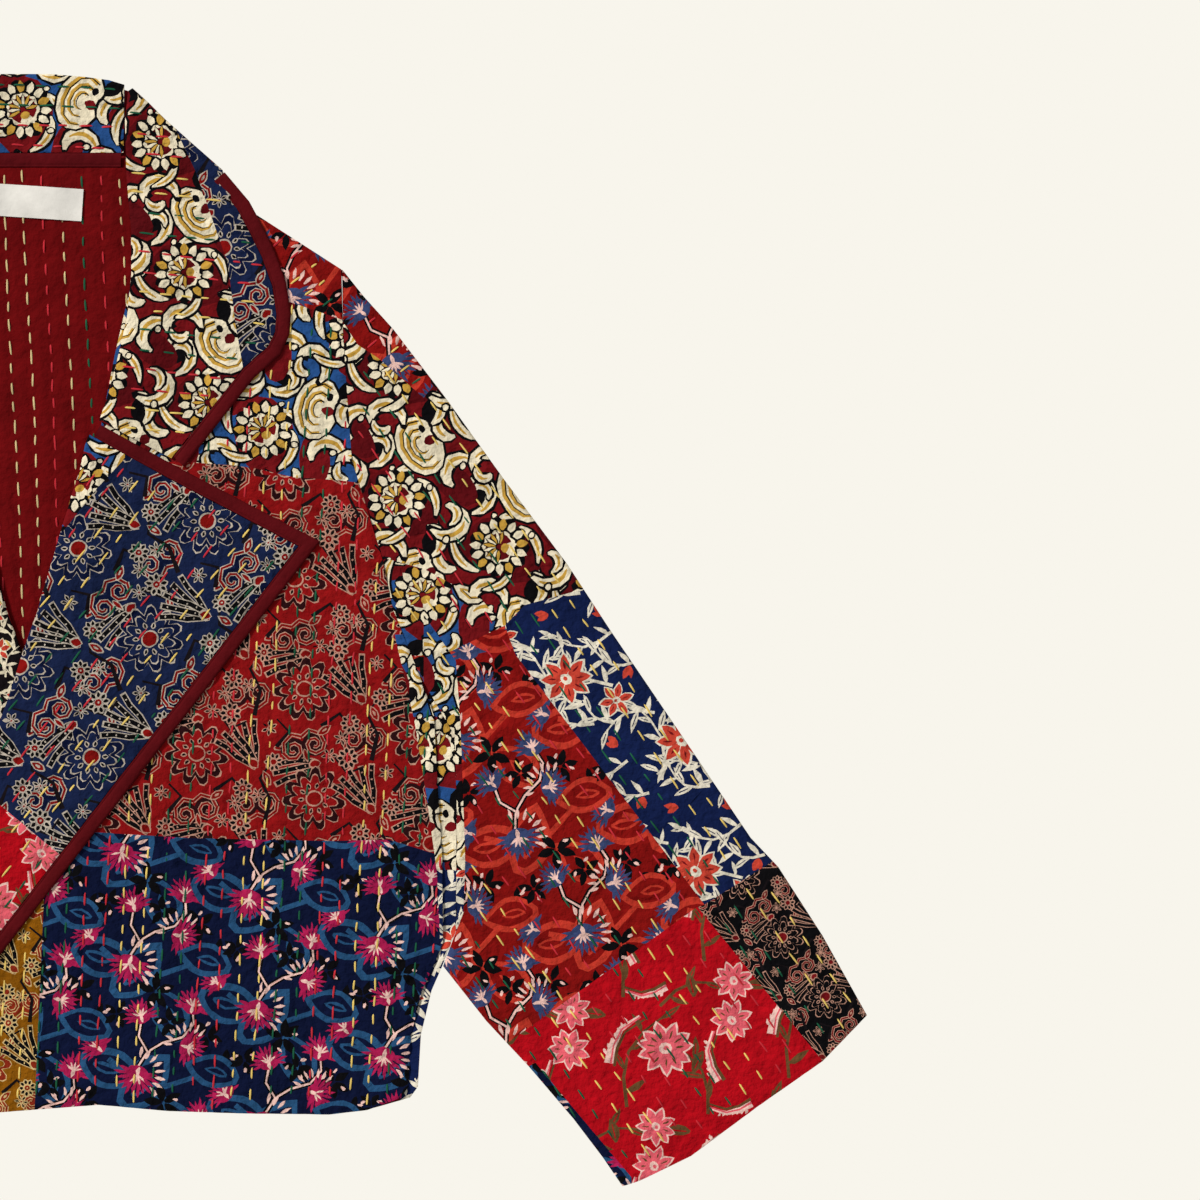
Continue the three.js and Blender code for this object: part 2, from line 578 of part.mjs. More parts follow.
addPiece("back_panel", backPanel(), cloths.navy);
addPiece("neck_lining", neckLining(), cloths.maroon);
addPiece("neck_binding", neckBinding(), cloths.binding);
addPiece("label_blank", blankLabel(), cloths.white, 0.8);
addPiece("collar_stand", collarStand(), cloths.kalamkari);
addPiece("collar_fall", collarFall(), cloths.kalamkari);
for (const isLeft of [true, false]) {
  const wear = isLeft ? "left" : "right";
  const placed = (geometry) => (isLeft ? geometry : mirrorOf(geometry));
  addPiece(`front_${wear}`, placed(frontPanel(isLeft)), cloths.red);
  addPiece(`lapel_${wear}`, placed(lapelPanel(isLeft)), cloths.navy);
  addPiece(`lapel_binding_${wear}`, placed(lapelBinding(isLeft)), cloths.binding);
  addPiece(`collar_leaf_${wear}`, placed(collarLeaf(isLeft)), cloths.kalamkari);
  addPiece(`collar_binding_${wear}`, placed(collarBinding(isLeft)), cloths.binding);
  addPiece(`sleeve_${wear}`, placed(sleeve()), cloths.sleeve);
}

export default jacket;
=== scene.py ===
"""Dresses a patchwork kantha jacket that lies face up and looks at it from straight above.

Outlines and heights are in millimetres and in the row frame, and meshes are written in metres.
"""

from __future__ import annotations

import logging
import math
import random
from collections.abc import Callable, Iterator
from contextlib import contextmanager
from dataclasses import dataclass, field, replace
from enum import Enum

import bmesh
import bpy
import numpy as np
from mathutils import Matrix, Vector
from mathutils.geometry import delaunay_2d_cdt


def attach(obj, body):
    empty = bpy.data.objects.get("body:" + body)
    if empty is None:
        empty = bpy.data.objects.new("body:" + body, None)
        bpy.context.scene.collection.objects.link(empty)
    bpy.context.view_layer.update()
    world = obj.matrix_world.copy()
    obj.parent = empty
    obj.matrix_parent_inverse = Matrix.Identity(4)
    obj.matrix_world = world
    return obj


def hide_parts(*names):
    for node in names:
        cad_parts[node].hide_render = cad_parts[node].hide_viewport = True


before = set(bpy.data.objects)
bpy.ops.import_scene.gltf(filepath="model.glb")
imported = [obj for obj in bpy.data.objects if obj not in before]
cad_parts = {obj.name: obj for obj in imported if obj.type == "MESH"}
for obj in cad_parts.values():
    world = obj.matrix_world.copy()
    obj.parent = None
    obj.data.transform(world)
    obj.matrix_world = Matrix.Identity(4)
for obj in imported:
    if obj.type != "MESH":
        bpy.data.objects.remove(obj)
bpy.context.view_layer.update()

LOG = logging.getLogger("jacket")
MM = 0.001
Point = tuple[float, float]
Line = list[Point]
Height = Callable[[np.ndarray, np.ndarray], np.ndarray]


@dataclass(frozen=True)
class Cloth:
    """Thicknesses of the quilted cloth and how its layers lie on each other, in millimetres."""

    wall: float = 1.5
    puff: float = 0.5
    lining: float = 1.0
    row: float = 12.7
    lay: float = 0.6
    band: float = 9.0
    band_thick: float = 2.2
    collar_lift: float = 1.9
    lining_lift: float = 1.9
    lapel_step: float = 2.5
    overlap: float = 5.4
    hollow: float = 0.5


CLOTH = Cloth()

ROLL: Line = [
    (-97, -319), (-16, -63), (-9, -45), (-1, -19), (11, 16), (20, 47), (32, 88), (37, 103), (48, 134)
]
HEM: Line = [
    (-97, -319), (-16, -315), (50, -310), (96, -314), (149, -316), (200, -317), (225, -314), (247, -306)
]
ARMHOLE: Line = [
    (208, 236), (209, 197), (212, 151), (215, 111), (225, 79), (235, 46), (242, 13), (259, -29), (282, -69)
]
SIDE: Line = [(283.4, -111), (283, -197), (274, -220), (267, -236), (260, -265), (258, -299), (253, -306)]
FRONT_NECK: Line = [(60, 180), (74, 240), (82, 304)]
SHOULDER: Line = [(152, 272), (208, 236)]
SIDE_SEAM: Line = [
    (268.6, -56), (271, -100), (274, -148), (274.6, -203), (274, -206), (268.2, -220), (260.8, -236),
    (253.6, -265), (251.8, -299),
]
SLEEVE_TOP: Line = [
    (208.6, 236), (223, 218), (242, 197), (277, 151), (315, 98), (356, 43), (384, 0), (439, -81),
    (476, -136), (494, -155), (523, -200), (552, -252),
]
CUFF: Line = [(552, -252), (523, -282), (480, -312), (437, -344), (404, -360), (392, -364)]
SLEEVE_LOW: Line = [(392, -364), (379, -345), (360, -320), (331, -286), (303, -256), (274.6, -220)]
LAPEL_EDGE: Line = [(51, 134), (100, 107), (146, 83), (194, 58), (-93, -314)]
COLLAR_ROLL: Line = [
    (46, 138), (56, 155), (63, 182), (68, 204), (71, 232), (71, 262), (68, 295), (67, 333), (69, 352)
]
COLLAR_EDGE: Line = [
    (106, 108), (151, 165), (168, 180), (174, 193), (175, 207), (172, 227), (165, 247), (155, 267),
    (148, 280), (132, 299),
]
COLLAR_RIDGE: Line = [(132, 299), (111, 318), (93, 334), (82, 345), (72, 354)]
COLLAR_TOP: Line = [(0, 364), (18, 364), (41, 362), (56, 360), (66, 357)]


def mirrored(line: Line) -> Line:
    """The line on the other side of the garment, run the other way."""
    return [(-x, y) for x, y in reversed(line)]


def smooth(low: float, high: float, value: np.ndarray) -> np.ndarray:
    """A soft step from 0 at low to 1 at high."""
    share = np.clip((value - low) / (high - low), 0.0, 1.0)
    return share * share * (3.0 - 2.0 * share)


def along_line(line: Line, step: float) -> Line:
    """Points along a line that keep its corners.

    Args:
        line: The corners.
        step: The greatest distance between two points.

    Returns:
        The points, the last corner included.
    """
    points: Line = []
    for (ax, ay), (bx, by) in zip(line, line[1:]):
        count = max(1, math.ceil(math.hypot(bx - ax, by - ay) / step))
        points += [(ax + (bx - ax) * k / count, ay + (by - ay) * k / count) for k in range(count)]
    return points + [line[-1]]


def inset(line: Line, distance: float) -> Line:
    """The line moved to its left side by a distance, with mitred corners.

    Args:
        line: The corners.
        distance: How far it moves.

    Returns:
        One point for each corner.
    """
    moved: Line = []
    for k, (x, y) in enumerate(line):
        normals = []
        for a, b in ((k - 1, k), (k, k + 1)):
            if a >= 0 and b < len(line):
                dx, dy = line[b][0] - line[a][0], line[b][1] - line[a][1]
                length = math.hypot(dx, dy) or 1.0
                normals.append((-dy / length, dx / length))
        nx, ny = sum(n[0] for n in normals) / len(normals), sum(n[1] for n in normals) / len(normals)
        square = max(0.25, nx * nx + ny * ny)
        moved.append((x + nx * distance / square, y + ny * distance / square))
    return moved


def meeting(a: Point, b: Point, c: Point, d: Point) -> Point:
    """Where the line through a and b crosses the line through c and d."""
    ux, uy, vx, vy = b[0] - a[0], b[1] - a[1], d[0] - c[0], d[1] - c[1]
    share = ((c[0] - a[0]) * vy - (c[1] - a[1]) * vx) / (ux * vy - uy * vx)
    return (a[0] + ux * share, a[1] + uy * share)


def distance_to(line: Line, x: np.ndarray, y: np.ndarray) -> np.ndarray:
    """The distance of each place from a line of corners."""
    best = np.full(np.shape(x), 1e9)
    for (ax, ay), (bx, by) in zip(line, line[1:]):
        dx, dy = bx - ax, by - ay
        share = np.clip(((x - ax) * dx + (y - ay) * dy) / (dx * dx + dy * dy), 0.0, 1.0)
        best = np.minimum(best, np.hypot(x - ax - share * dx, y - ay - share * dy))
    return best


def inside(polygon: Line, x: np.ndarray, y: np.ndarray) -> np.ndarray:
    """Which places lie inside a polygon."""
    found = np.zeros(np.shape(x), bool)
    for (ax, ay), (bx, by) in zip(polygon, polygon[1:] + polygon[:1]):
        if ay != by:
            found ^= ((ay > y) != (by > y)) & (x < (bx - ax) * (y - ay) / (by - ay) + ax)
    return found


class Levels:
    """Heights of the layers above the surface that the garment lies on, in millimetres."""

    def __init__(self) -> None:
        """Sorts the line that the fronts and the collar roll over on."""
        table = sorted(ROLL + COLLAR_ROLL, key=lambda p: p[1])
        self.roll_y = np.array([y for _, y in table])
        self.roll_at = np.array([x for x, _ in table])

    def roll_x(self, y: np.ndarray) -> np.ndarray:
        """Where the roll line is at a height of the garment."""
        return np.interp(y, self.roll_y, self.roll_at)

    def back(self, x: np.ndarray, y: np.ndarray) -> np.ndarray:
        """Underside of the back, which climbs over the folded half of the collar."""
        return CLOTH.collar_lift * smooth(185, 278, np.asarray(y, float))

    def front(self, is_left: bool) -> Height:
        """Underside of a front.

        Args:
            is_left: Whether it is the front that lies on the other one.

        Returns:
            The height at any place of that half.
        """

        def level(x: np.ndarray, y: np.ndarray) -> np.ndarray:
            roll = self.roll_x(y)
            on_lining = (1 - smooth(15, 60, np.abs(x) - roll)) * smooth(-150, -48, y)
            over = 1 - smooth(8, 105, x + roll) if is_left else 0.0
            base = self.back(x, y) + CLOTH.wall + CLOTH.lay
            return base + CLOTH.lining_lift * on_lining + CLOTH.overlap * over

        return level

    def lapel(self, is_left: bool) -> Height:
        """Underside of a lapel or of a leaf of the collar."""
        under = self.front(is_left)
        return lambda x, y: under(x, y) + CLOTH.lapel_step

    def lining(self, x: np.ndarray, y: np.ndarray) -> np.ndarray:
        """Top of the neck's lining, without its quilting."""
        return self.back(x, y) + CLOTH.wall + 0.5 + CLOTH.lining


LEVELS = Levels()


class Ink(Enum):
    """Dye colours of the prints and threads, as sRGB."""

    NAVY = "172244"
    DEEP_NAVY = "0C1433"
    VINE_NAVY = "121F49"
    BLUE = "27508A"
    STEEL = "264F76"
    SLATE = "39466F"
    DUSK = "BC8D79"
    PEWTER = "BBAF9F"
    STRAW = "CFB27A"
    SMOKE = "2A0D10"
    RED = "8E1113"
    SCARLET = "B40A18"
    BRICK = "84100E"
    MAROON = "741217"
    DARK_MAROON = "5A0C12"
    LINING = "6C090C"
    LINING_SHADE = "4A060A"
    WHITE = "EFEBE2"
    CREAM = "F0E3C4"
    BONE = "E6DDC8"
    OCHRE = "C99C40"
    MUSTARD = "8C560A"
    RUST = "8A2A16"
    CORAL = "CC4534"
    BRIGHT_CORAL = "C03728"
    MAGENTA = "AA1C4E"
    PINK = "E5606C"
    BLUSH = "EFC4B8"
    BROWN = "66482A"
    GREEN = "1E5A46"
    BLACK = "0B0A0D"
    SOOT = "171114"
    THREAD_YELLOW = "EBCB6E"
    THREAD_GREEN = "1E5B40"
    THREAD_RED = "C8303A"
    THREAD_CREAM = "DCC58F"

    @property
    def linear(self) -> tuple[float, float, float, float]:
        """The colour in linear light."""
        parts = [int(self.value[k : k + 2], 16) / 255 for k in (0, 2, 4)]
        red, green, blue = (((c + 0.055) / 1.055) ** 2.4 if c > 0.04045 else c / 12.92 for c in parts)
        return (red, green, blue, 1.0)


@dataclass
class Shape:
    """One printed shape."""

    points: Line
    ink: Ink

    @property
    def area(self) -> float:
        """Its area in square millimetres."""
        pairs = zip(self.points, self.points[1:] + self.points[:1])
        return 0.5 * abs(sum(a[0] * b[1] - b[0] * a[1] for a, b in pairs))


class Pen:
    """Draws printed shapes, each over the earlier ones, with a hand-printed wobble."""

    def __init__(self, seed: int) -> None:
        """Starts with an empty sheet."""
        self.rng = random.Random(seed)
        self.shapes: list[Shape] = []
        self.frame = (0.0, 0.0, 1.0, 0.0)

    @contextmanager
    def at(self, x: float, y: float, turn: float = 0.0, size: float = 1.0) -> Iterator[None]:
        """Draws in a moved, turned and sized frame inside the present one.

        Args:
            x: Place of the new origin.
            y: Place of the new origin.
            turn: Its turn in degrees.
            size: Its scale.

        Yields:
            Nothing.
        """
        was = self.frame
        ox, oy = self.spot((x, y))
        c, s = size * math.cos(math.radians(turn)), size * math.sin(math.radians(turn))
        self.frame = (ox, oy, was[2] * c - was[3] * s, was[3] * c + was[2] * s)
        yield
        self.frame = was

    def spot(self, point: Point) -> Point:
        """A place of the present frame on the cloth."""
        ox, oy, c, s = self.frame
        return (ox + c * point[0] - s * point[1], oy + s * point[0] + c * point[1])

    def fill(self, points: Line, ink: Ink, wobble: float = 0.14) -> None:
        """One filled polygon."""
        placed = [
            self.spot((x + self.rng.gauss(0, wobble), y + self.rng.gauss(0, wobble))) for x, y in points
        ]
        area = sum(a[0] * b[1] - b[0] * a[1] for a, b in zip(placed, placed[1:] + placed[:1]))
        self.shapes.append(Shape(placed if area > 0 else placed[::-1], ink))

    def oval(self, x: float, y: float, long: float, wide: float, ink: Ink, turn: float = 0.0) -> None:
        """An ellipse with the given half axes."""
        count = 6 if long < 1.6 else 9 if long < 5 else 14
        c, s = math.cos(math.radians(turn)), math.sin(math.radians(turn))
        places = [
            (long * math.cos(t), wide * math.sin(t)) for t in (math.tau * k / count for k in range(count))
        ]
        self.fill([(x + c * a - s * b, y + s * a + c * b) for a, b in places], ink)

    def petal(
        self, angle: float, start: float, length: float, width: float, ink: Ink, bend: float = 0.0
    ) -> None:
        """A pointed petal that starts some way out from the origin.

        Args:
            angle: Its direction in degrees.
            start: How far out it starts.
            length: Its length.
            width: Its width.
            ink: Its colour.
            bend: How far its tip is moved sideways.
        """
        sides = [(0.0, 0.12), (0.25, 0.42), (0.55, 0.5), (0.82, 0.27), (1.0, 0.0)]
        if length > 20:
            sides = [(k / 9, 0.5 * math.sin(math.pi * (0.06 + 0.94 * k / 9)) ** 0.9) for k in range(9)]
            sides.append((1.0, 0.0))
        outline = [(t, w) for t, w in sides] + [(t, -w) for t, w in reversed(sides[:-1])]
        c, s = math.cos(math.radians(angle)), math.sin(math.radians(angle))
        points = [(start + t * length, w * width + bend * t * t) for t, w in outline]
        self.fill([(c * a - s * b, s * a + c * b) for a, b in points], ink)

    def stroke(self, line: Line, width: float, ink: Ink, tip: float = 1.0) -> None:
        """A brushed line.

        Args:
            line: Its middle.
            width: Its width at the start.
            ink: Its colour.
            tip: The share of the width that is left at the end.
        """
        left: Line = []
        right: Line = []
        last = len(line) - 1
        for k, (x, y) in enumerate(line):
            ax, ay = line[max(k - 1, 0)]
            bx, by = line[min(k + 1, last)]
            length = math.hypot(bx - ax, by - ay) or 1.0
            half = 0.5 * width * (1 + (tip - 1) * k / last)
            nx, ny = -(by - ay) / length * half, (bx - ax) / length * half
            left.append((x + nx, y + ny))
            right.append((x - nx, y - ny))
        self.fill(left + right[::-1], ink, 0.08)

    def lobes(self, outer: float, inner: float, count: int, ink: Ink, sharp: float = 0.8) -> None:
        """A flower's edge of rounded points.

        Args:
            outer: Radius of the tips.
            inner: Radius between the points.
            count: Number of points.
            ink: Its colour.
            sharp: Where the points' shoulders are, from the inner to the outer radius.
        """
        points: Line = []
        shoulder = inner + sharp * (outer - inner)
        for k in range(count):
            for step, radius in ((0, inner), (0.28, shoulder), (0.5, outer), (0.72, shoulder)):
                turn = math.tau * (k + step) / count
                points.append((radius * math.cos(turn), radius * math.sin(turn)))
        self.fill(points, ink, 0.2)

    def spiral(self, radius: float, turns: float, width: float, ink: Ink, flip: int = 1) -> None:
        """A scroll that winds in to the origin."""
        count = 11
        line = []
        for k in range(count):
            share = k / (count - 1)
            reach = radius * (1 - 0.78 * share)
            turn = math.tau * turns * share
            line.append((reach * math.cos(turn), flip * reach * math.sin(turn)))
        self.stroke(line, width, ink, 0.8)


@dataclass(frozen=True)
class Dyes:
    """The colours of one printed cloth."""

    ground: Ink
    line: Ink
    accent: Ink
    dark: Ink = Ink.BLACK
    second: Ink = Ink.OCHRE


class Motifs:
    """Common flowers, leaves and scrolls of block-printed cotton, drawn from formulas."""

    @staticmethod
    def sunflower(pen: Pen, dyes: Dyes, radius: float) -> None:
        """A flower with two outlines of pointed lobes round a ring of seeds."""
        for outer, inner in ((radius, radius * 0.7), (radius * 0.76, radius * 0.52)):
            pen.lobes(outer, inner, 11, dyes.line)
            pen.lobes(outer - 1.0, inner - 0.7, 11, dyes.second if outer == radius else dyes.ground)
        for k in range(10):
            pen.petal(36 * k, radius * 0.3, radius * 0.2, radius * 0.14, dyes.line)
            pen.petal(36 * k, radius * 0.33, radius * 0.14, radius * 0.07, dyes.dark)
        pen.oval(0, 0, radius * 0.27, radius * 0.25, dyes.line)
        pen.oval(0, 0, radius * 0.22, radius * 0.2, dyes.accent)

    @staticmethod
    def rosette(pen: Pen, dyes: Dyes, radius: float) -> None:
        """A small round flower of outlined petals."""
        for k in range(9):
            pen.petal(40 * k, radius * 0.34, radius * 0.66, radius * 0.56, dyes.line)
        for k in range(9):
            pen.petal(40 * k, radius * 0.42, radius * 0.46, radius * 0.3, dyes.dark)
        pen.oval(0, 0, radius * 0.38, radius * 0.38, dyes.line)
        pen.oval(0, 0, radius * 0.29, radius * 0.29, dyes.accent)
        pen.oval(0, 0, radius * 0.1, radius * 0.1, dyes.line)

    @staticmethod
    def tulip(pen: Pen, dyes: Dyes, length: float) -> None:
        """Three ribbed bands that spread from a small cup."""
        for k in (-1, 0, 1):
            spread = length * k
            line = [
                (0.07 * spread, 0), (0.17 * spread, 0.35 * length), (0.19 * spread, 0.7 * length),
                (0.27 * spread, length),
            ]
            pen.stroke(line, 0.145 * length, dyes.line)
            pen.stroke(line[:-1] + [(0.26 * length * k, 0.96 * length)], 0.1 * length, dyes.dark)
            for share in (0.2, 0.42, 0.64, 0.84):
                pen.oval((0.1 + 0.14 * share) * length * k, share * length, 0.9, 0.6, dyes.line)
        pen.petal(-90, -0.12 * length, 0.3 * length, 0.26 * length, dyes.line)
        pen.petal(-90, -0.08 * length, 0.24 * length, 0.17 * length, dyes.accent)

    @staticmethod
    def scrolls(pen: Pen, dyes: Dyes, size: float) -> None:
        """Two mirrored scrolls with a leaf between them."""
        for flip in (-1, 1):
            with pen.at(flip * size * 0.62, 0, 90 * (1 - flip)):
                pen.oval(0, 0, size * 0.72, size * 0.66, dyes.second)
                pen.spiral(size * 0.6, 1.35, 3.2, dyes.line, flip)
                pen.spiral(size * 0.6, 1.33, 1.8, dyes.accent, flip)
            out = flip * size
            tail = [(out * 1.15, 0), (out * 1.05, -size * 0.5), (out * 0.5, -size * 0.85), (0, -size * 0.6)]
            pen.stroke(tail, 3.1, dyes.line)
            pen.stroke(tail, 1.7, dyes.accent)
        pen.petal(90, size * 0.1, size * 0.8, size * 0.34, dyes.line)
        pen.petal(90, size * 0.16, size * 0.62, size * 0.2, dyes.accent)

    @staticmethod
    def eye(pen: Pen, dyes: Dyes, size: float) -> None:
        """A pointed oval with a smaller one in it."""
        pen.petal(0, -size * 0.5, size, size * 0.5, dyes.line)
        pen.petal(0, -size * 0.41, size * 0.82, size * 0.36, dyes.accent)
        pen.oval(0, 0, size * 0.17, size * 0.07, dyes.line)

    @staticmethod
    def star(pen: Pen, dyes: Dyes, radius: float) -> None:
        """A small flower of six narrow petals."""
        for k in range(6):
            pen.petal(60 * k, radius * 0.2, radius * 0.8, radius * 0.44, dyes.line)
            pen.petal(60 * k, radius * 0.3, radius * 0.55, radius * 0.24, dyes.dark)
        pen.oval(0, 0, radius * 0.25, radius * 0.25, dyes.line)
        pen.oval(0, 0, radius * 0.13, radius * 0.13, dyes.accent)

    @staticmethod
    def palmette(pen: Pen, dyes: Dyes, radius: float) -> None:
        """A full flower with a saw-toothed rim and a fan of ribs."""
        pen.lobes(radius, radius * 0.86, 11, dyes.dark, 0.7)
        for k in range(15):
            pen.petal(
                24 * k, radius * 0.55, radius * 0.4, radius * 0.25, dyes.line if k % 3 else dyes.second
            )
        pen.lobes(radius * 0.62, radius * 0.54, 9, dyes.dark, 0.7)
        pen.lobes(radius * 0.55, radius * 0.48, 9, dyes.line, 0.7)
        pen.oval(0, 0, radius * 0.45, radius * 0.43, dyes.accent)
        for k in range(9):
            angle = 90 + 24 * (k - 4)
            pen.petal(angle, radius * 0.08, radius * 0.46, radius * 0.17, dyes.dark)
            pen.petal(angle, radius * 0.12, radius * 0.4, radius * 0.1, dyes.line if k % 2 else dyes.second)
        with pen.at(0, -radius * 0.2):
            pen.petal(-60, 0, radius * 0.4, radius * 0.22, dyes.line)
            pen.petal(-120, 0, radius * 0.4, radius * 0.22, dyes.line)
            pen.oval(0, 0, radius * 0.16, radius * 0.13, dyes.second)

    @staticmethod
    def curl(pen: Pen, dyes: Dyes, radius: float, sweep: float, width: float) -> None:
        """A leaf that curls in to the origin, with a dark edge and a coloured middle."""
        for reach, ink, first, last in (
            (0.5 * width + 1.7, dyes.dark, -0.06, 1.05), (0.5 * width, dyes.line, 0.0, 1.0),
            (0.17 * width, dyes.second, 0.12, 0.7)
        ):
            outer: Line = []
            inner: Line = []
            for k in range(8):
                share = first + (last - first) * k / 7
                half = reach * math.sin(math.pi * (0.05 + 0.9 * k / 7)) ** 0.7
                turn, spread = math.radians(sweep) * share, radius * (1 - 0.42 * share)
                outer.append(((spread + half) * math.cos(turn), (spread + half) * math.sin(turn)))
                inner.append(((spread - half) * math.cos(turn), (spread - half) * math.sin(turn)))
            pen.fill(outer + inner[::-1], ink)

    @staticmethod
    def pod(pen: Pen, dyes: Dyes, size: float) -> None:
        """A plump shell of curled petals."""
        pen.oval(0, 0, size, size * 0.74, dyes.dark)
        pen.oval(0, 0, size * 0.93, size * 0.67, dyes.line)
        for reach, swell in ((0.76, 0.15), (0.5, 0.13), (0.26, 0.1)):
            arc: Line = []
            for turn in (-0.5, 0.1, 0.7, 1.3, 1.9, 2.5, 3.1, 3.6):
                arc.append((
                    reach * size * math.cos(turn), reach * size * 0.7 * math.sin(turn) - 0.03 * size,
                ))
            pen.stroke(arc, size * swell, dyes.second, 0.5)
            pen.stroke([(x, y - 0.06 * size) for x, y in arc], 0.8, dyes.dark, 0.5)
        pen.petal(-90, size * 0.16, size * 0.42, size * 0.3, dyes.accent)
        pen.oval(size * 0.42, -size * 0.3, size * 0.13, size * 0.1, dyes.dark)

    @staticmethod
    def thistle(pen: Pen, dyes: Dyes, radius: float, ringed: bool) -> None:
        """A fan of narrow petals on a pale base.

        Args:
            pen: Draws it.
            dyes: Its colours.
            radius: Its radius.
            ringed: Whether a half ring of pale strokes goes round it.
        """
        pen.oval(0, radius * 0.16, radius * 0.66, radius * 0.6, dyes.accent)
        for k in range(13):
            pen.petal(
                90 + 17 * (k - 6), radius * 0.2, radius * (0.95 if k % 2 else 0.8), radius * 0.19,
                dyes.accent,
            )
        for k in range(8):
            pen.petal(90 + 22 * (k - 3.5), radius * 0.42, radius * 0.5, radius * 0.06, dyes.ground)
        for k in range(5):
            pen.petal(90 + 30 * (k - 2), radius * 0.02, radius * 0.5, radius * 0.11, dyes.second)
        if ringed:
            for k in range(8):
                pen.petal(150 + 18 * k, radius * 0.85, radius * 0.55, radius * 0.16, dyes.second)
        pen.petal(-90, -radius * 0.1, radius * 0.5, radius * 0.2, dyes.second)

    @staticmethod
    def outline_leaf(pen: Pen, dyes: Dyes, length: float) -> None:
        """A large leaf drawn only with its edge."""
        pen.petal(0, 0, length, length * 0.62, dyes.line, length * 0.12)
        pen.petal(0, length * 0.1, length * 0.78, length * 0.42, dyes.ground, length * 0.09)
        pen.petal(0, length * 0.22, length * 0.42, length * 0.17, dyes.line, length * 0.05)
        pen.petal(0, length * 0.27, length * 0.31, length * 0.08, dyes.ground, length * 0.04)

    @staticmethod
    def flower(pen: Pen, dyes: Dyes, radius: float, count: int) -> None:
        """An open flower of pointed petals with a pale heart."""
        for k in range(count):
            angle = 360 * k / count + 7 * math.sin(5 * k)
            pen.petal(angle, radius * 0.1, radius * 1.02, radius * 0.56, dyes.line)
        for k in range(count):
            angle = 360 * k / count + 7 * math.sin(5 * k)
            pen.petal(angle, radius * 0.14, radius * 0.88, radius * 0.42, dyes.accent)
            pen.petal(angle, radius * 0.4, radius * 0.36, radius * 0.07, dyes.dark)
        pen.oval(0, 0, radius * 0.26, radius * 0.22, dyes.line)
        pen.oval(radius * 0.04, 0, radius * 0.11, radius * 0.09, dyes.accent)

    @staticmethod
    def sprig(pen: Pen, dyes: Dyes, length: float, bend: float, leaves: int) -> None:
        """A stem with pale leaves on both sides."""
        line = [(length * t, bend * math.sin(math.pi * t)) for t in (0, 0.25, 0.5, 0.75, 1.0)]
        pen.stroke(line, 1.7, dyes.line, 0.5)
        for k in range(leaves):
            share = (k + 0.6) / leaves
            with pen.at(length * share, bend * math.sin(math.pi * share), 42 * (1 if k % 2 else -1)):
                size = pen.rng.uniform(0.8, 1.2)
                pen.petal(0, 0.5, 10.5 * size, 3.0 * size, dyes.line, 1.8)
                if k % 3:
                    pen.stroke([(3, 0.1), (8 * size, 0.9)], 0.5, dyes.ground)

    @staticmethod
    def feather(pen: Pen, dyes: Dyes, length: float) -> None:
        """A broad curved leaf with a toothed pale edge."""
        line = [
            (0.0, 0.0), (length * 0.3, length * 0.14), (length * 0.62, length * 0.18),
            (length, length * 0.02),
        ]
        pen.stroke(line, length * 0.2, dyes.second, 0.25)
        for k in range(7):
            with pen.at(length * (0.1 + 0.11 * k), length * 0.14):
                pen.petal(55, 0, length * 0.12, length * 0.06, dyes.second)
        pen.stroke([(x, y - length * 0.02) for x, y in line], 0.9, dyes.accent)
        pen.stroke([(x, y - length * 0.1) for x, y in line], 1.5, dyes.dark, 0.6)

    @staticmethod
    def blot(pen: Pen, dyes: Dyes, size: float) -> None:
        """A dark spray of buds with pale dots."""
        for k in range(5):
            angle = 72 * k + pen.rng.uniform(-15, 15)
            pen.petal(angle, size * 0.1, size, size * 0.5, dyes.dark)
        for k in range(3):
            angle = math.radians(120 * k + 40)
            pen.oval(
                size * 0.7 * math.cos(angle), size * 0.7 * math.sin(angle), 1.5, 0.8, dyes.second, 40 * k
            )


@dataclass(frozen=True)
class Fabric:
    """One block-printed cloth, with a repeat that is shifted by half in every other column."""

    name: str
    dyes: Dyes
    repeat: tuple[float, float]
    draw: Callable[[Pen, Dyes], None]
    size: float = 1.0

    def print_on(self, pen: Pen, areas: list[Line], turn: float) -> None:
        """Prints the repeat where all of some areas are, and a little past them.

        Args:
            pen: Draws it.
            areas: The areas that the print has to be in.
            turn: The turn of the cloth's lengthwise thread in degrees.
        """
        ends = [(min(xs), max(xs), min(ys), max(ys)) for xs, ys in (zip(*area) for area in areas)]
        box = (
            max(e[0] for e in ends), min(e[1] for e in ends), max(e[2] for e in ends),
            min(e[3] for e in ends),
        )
        middle = ((box[0] + box[1]) / 2, (box[2] + box[3]) / 2)
        reach = math.hypot(box[1] - box[0], box[3] - box[2]) / 2 + 30
        wide, high = self.repeat[0] * self.size, self.repeat[1] * self.size
        c, s = math.cos(math.radians(turn)), math.sin(math.radians(turn))
        for i in range(-math.ceil(reach / wide), math.ceil(reach / wide) + 1):
            for j in range(-math.ceil(reach / high) - 1, math.ceil(reach / high) + 1):
                u, v = i * wide, (j + 0.5 * (i % 2)) * high
                x, y = middle[0] + c * u - s * v, middle[1] + s * u + c * v
                at = (np.array([x]), np.array([y]))
                near = (inside(a, *at)[0] or distance_to(a + a[:1], *at)[0] < 0.75 * wide for a in areas)
                if box[0] - wide < x < box[1] + wide and box[2] - high < y < box[3] + high and all(near):
                    with pen.at(x, y, turn, self.size):
                        self.draw(pen, self.dyes)


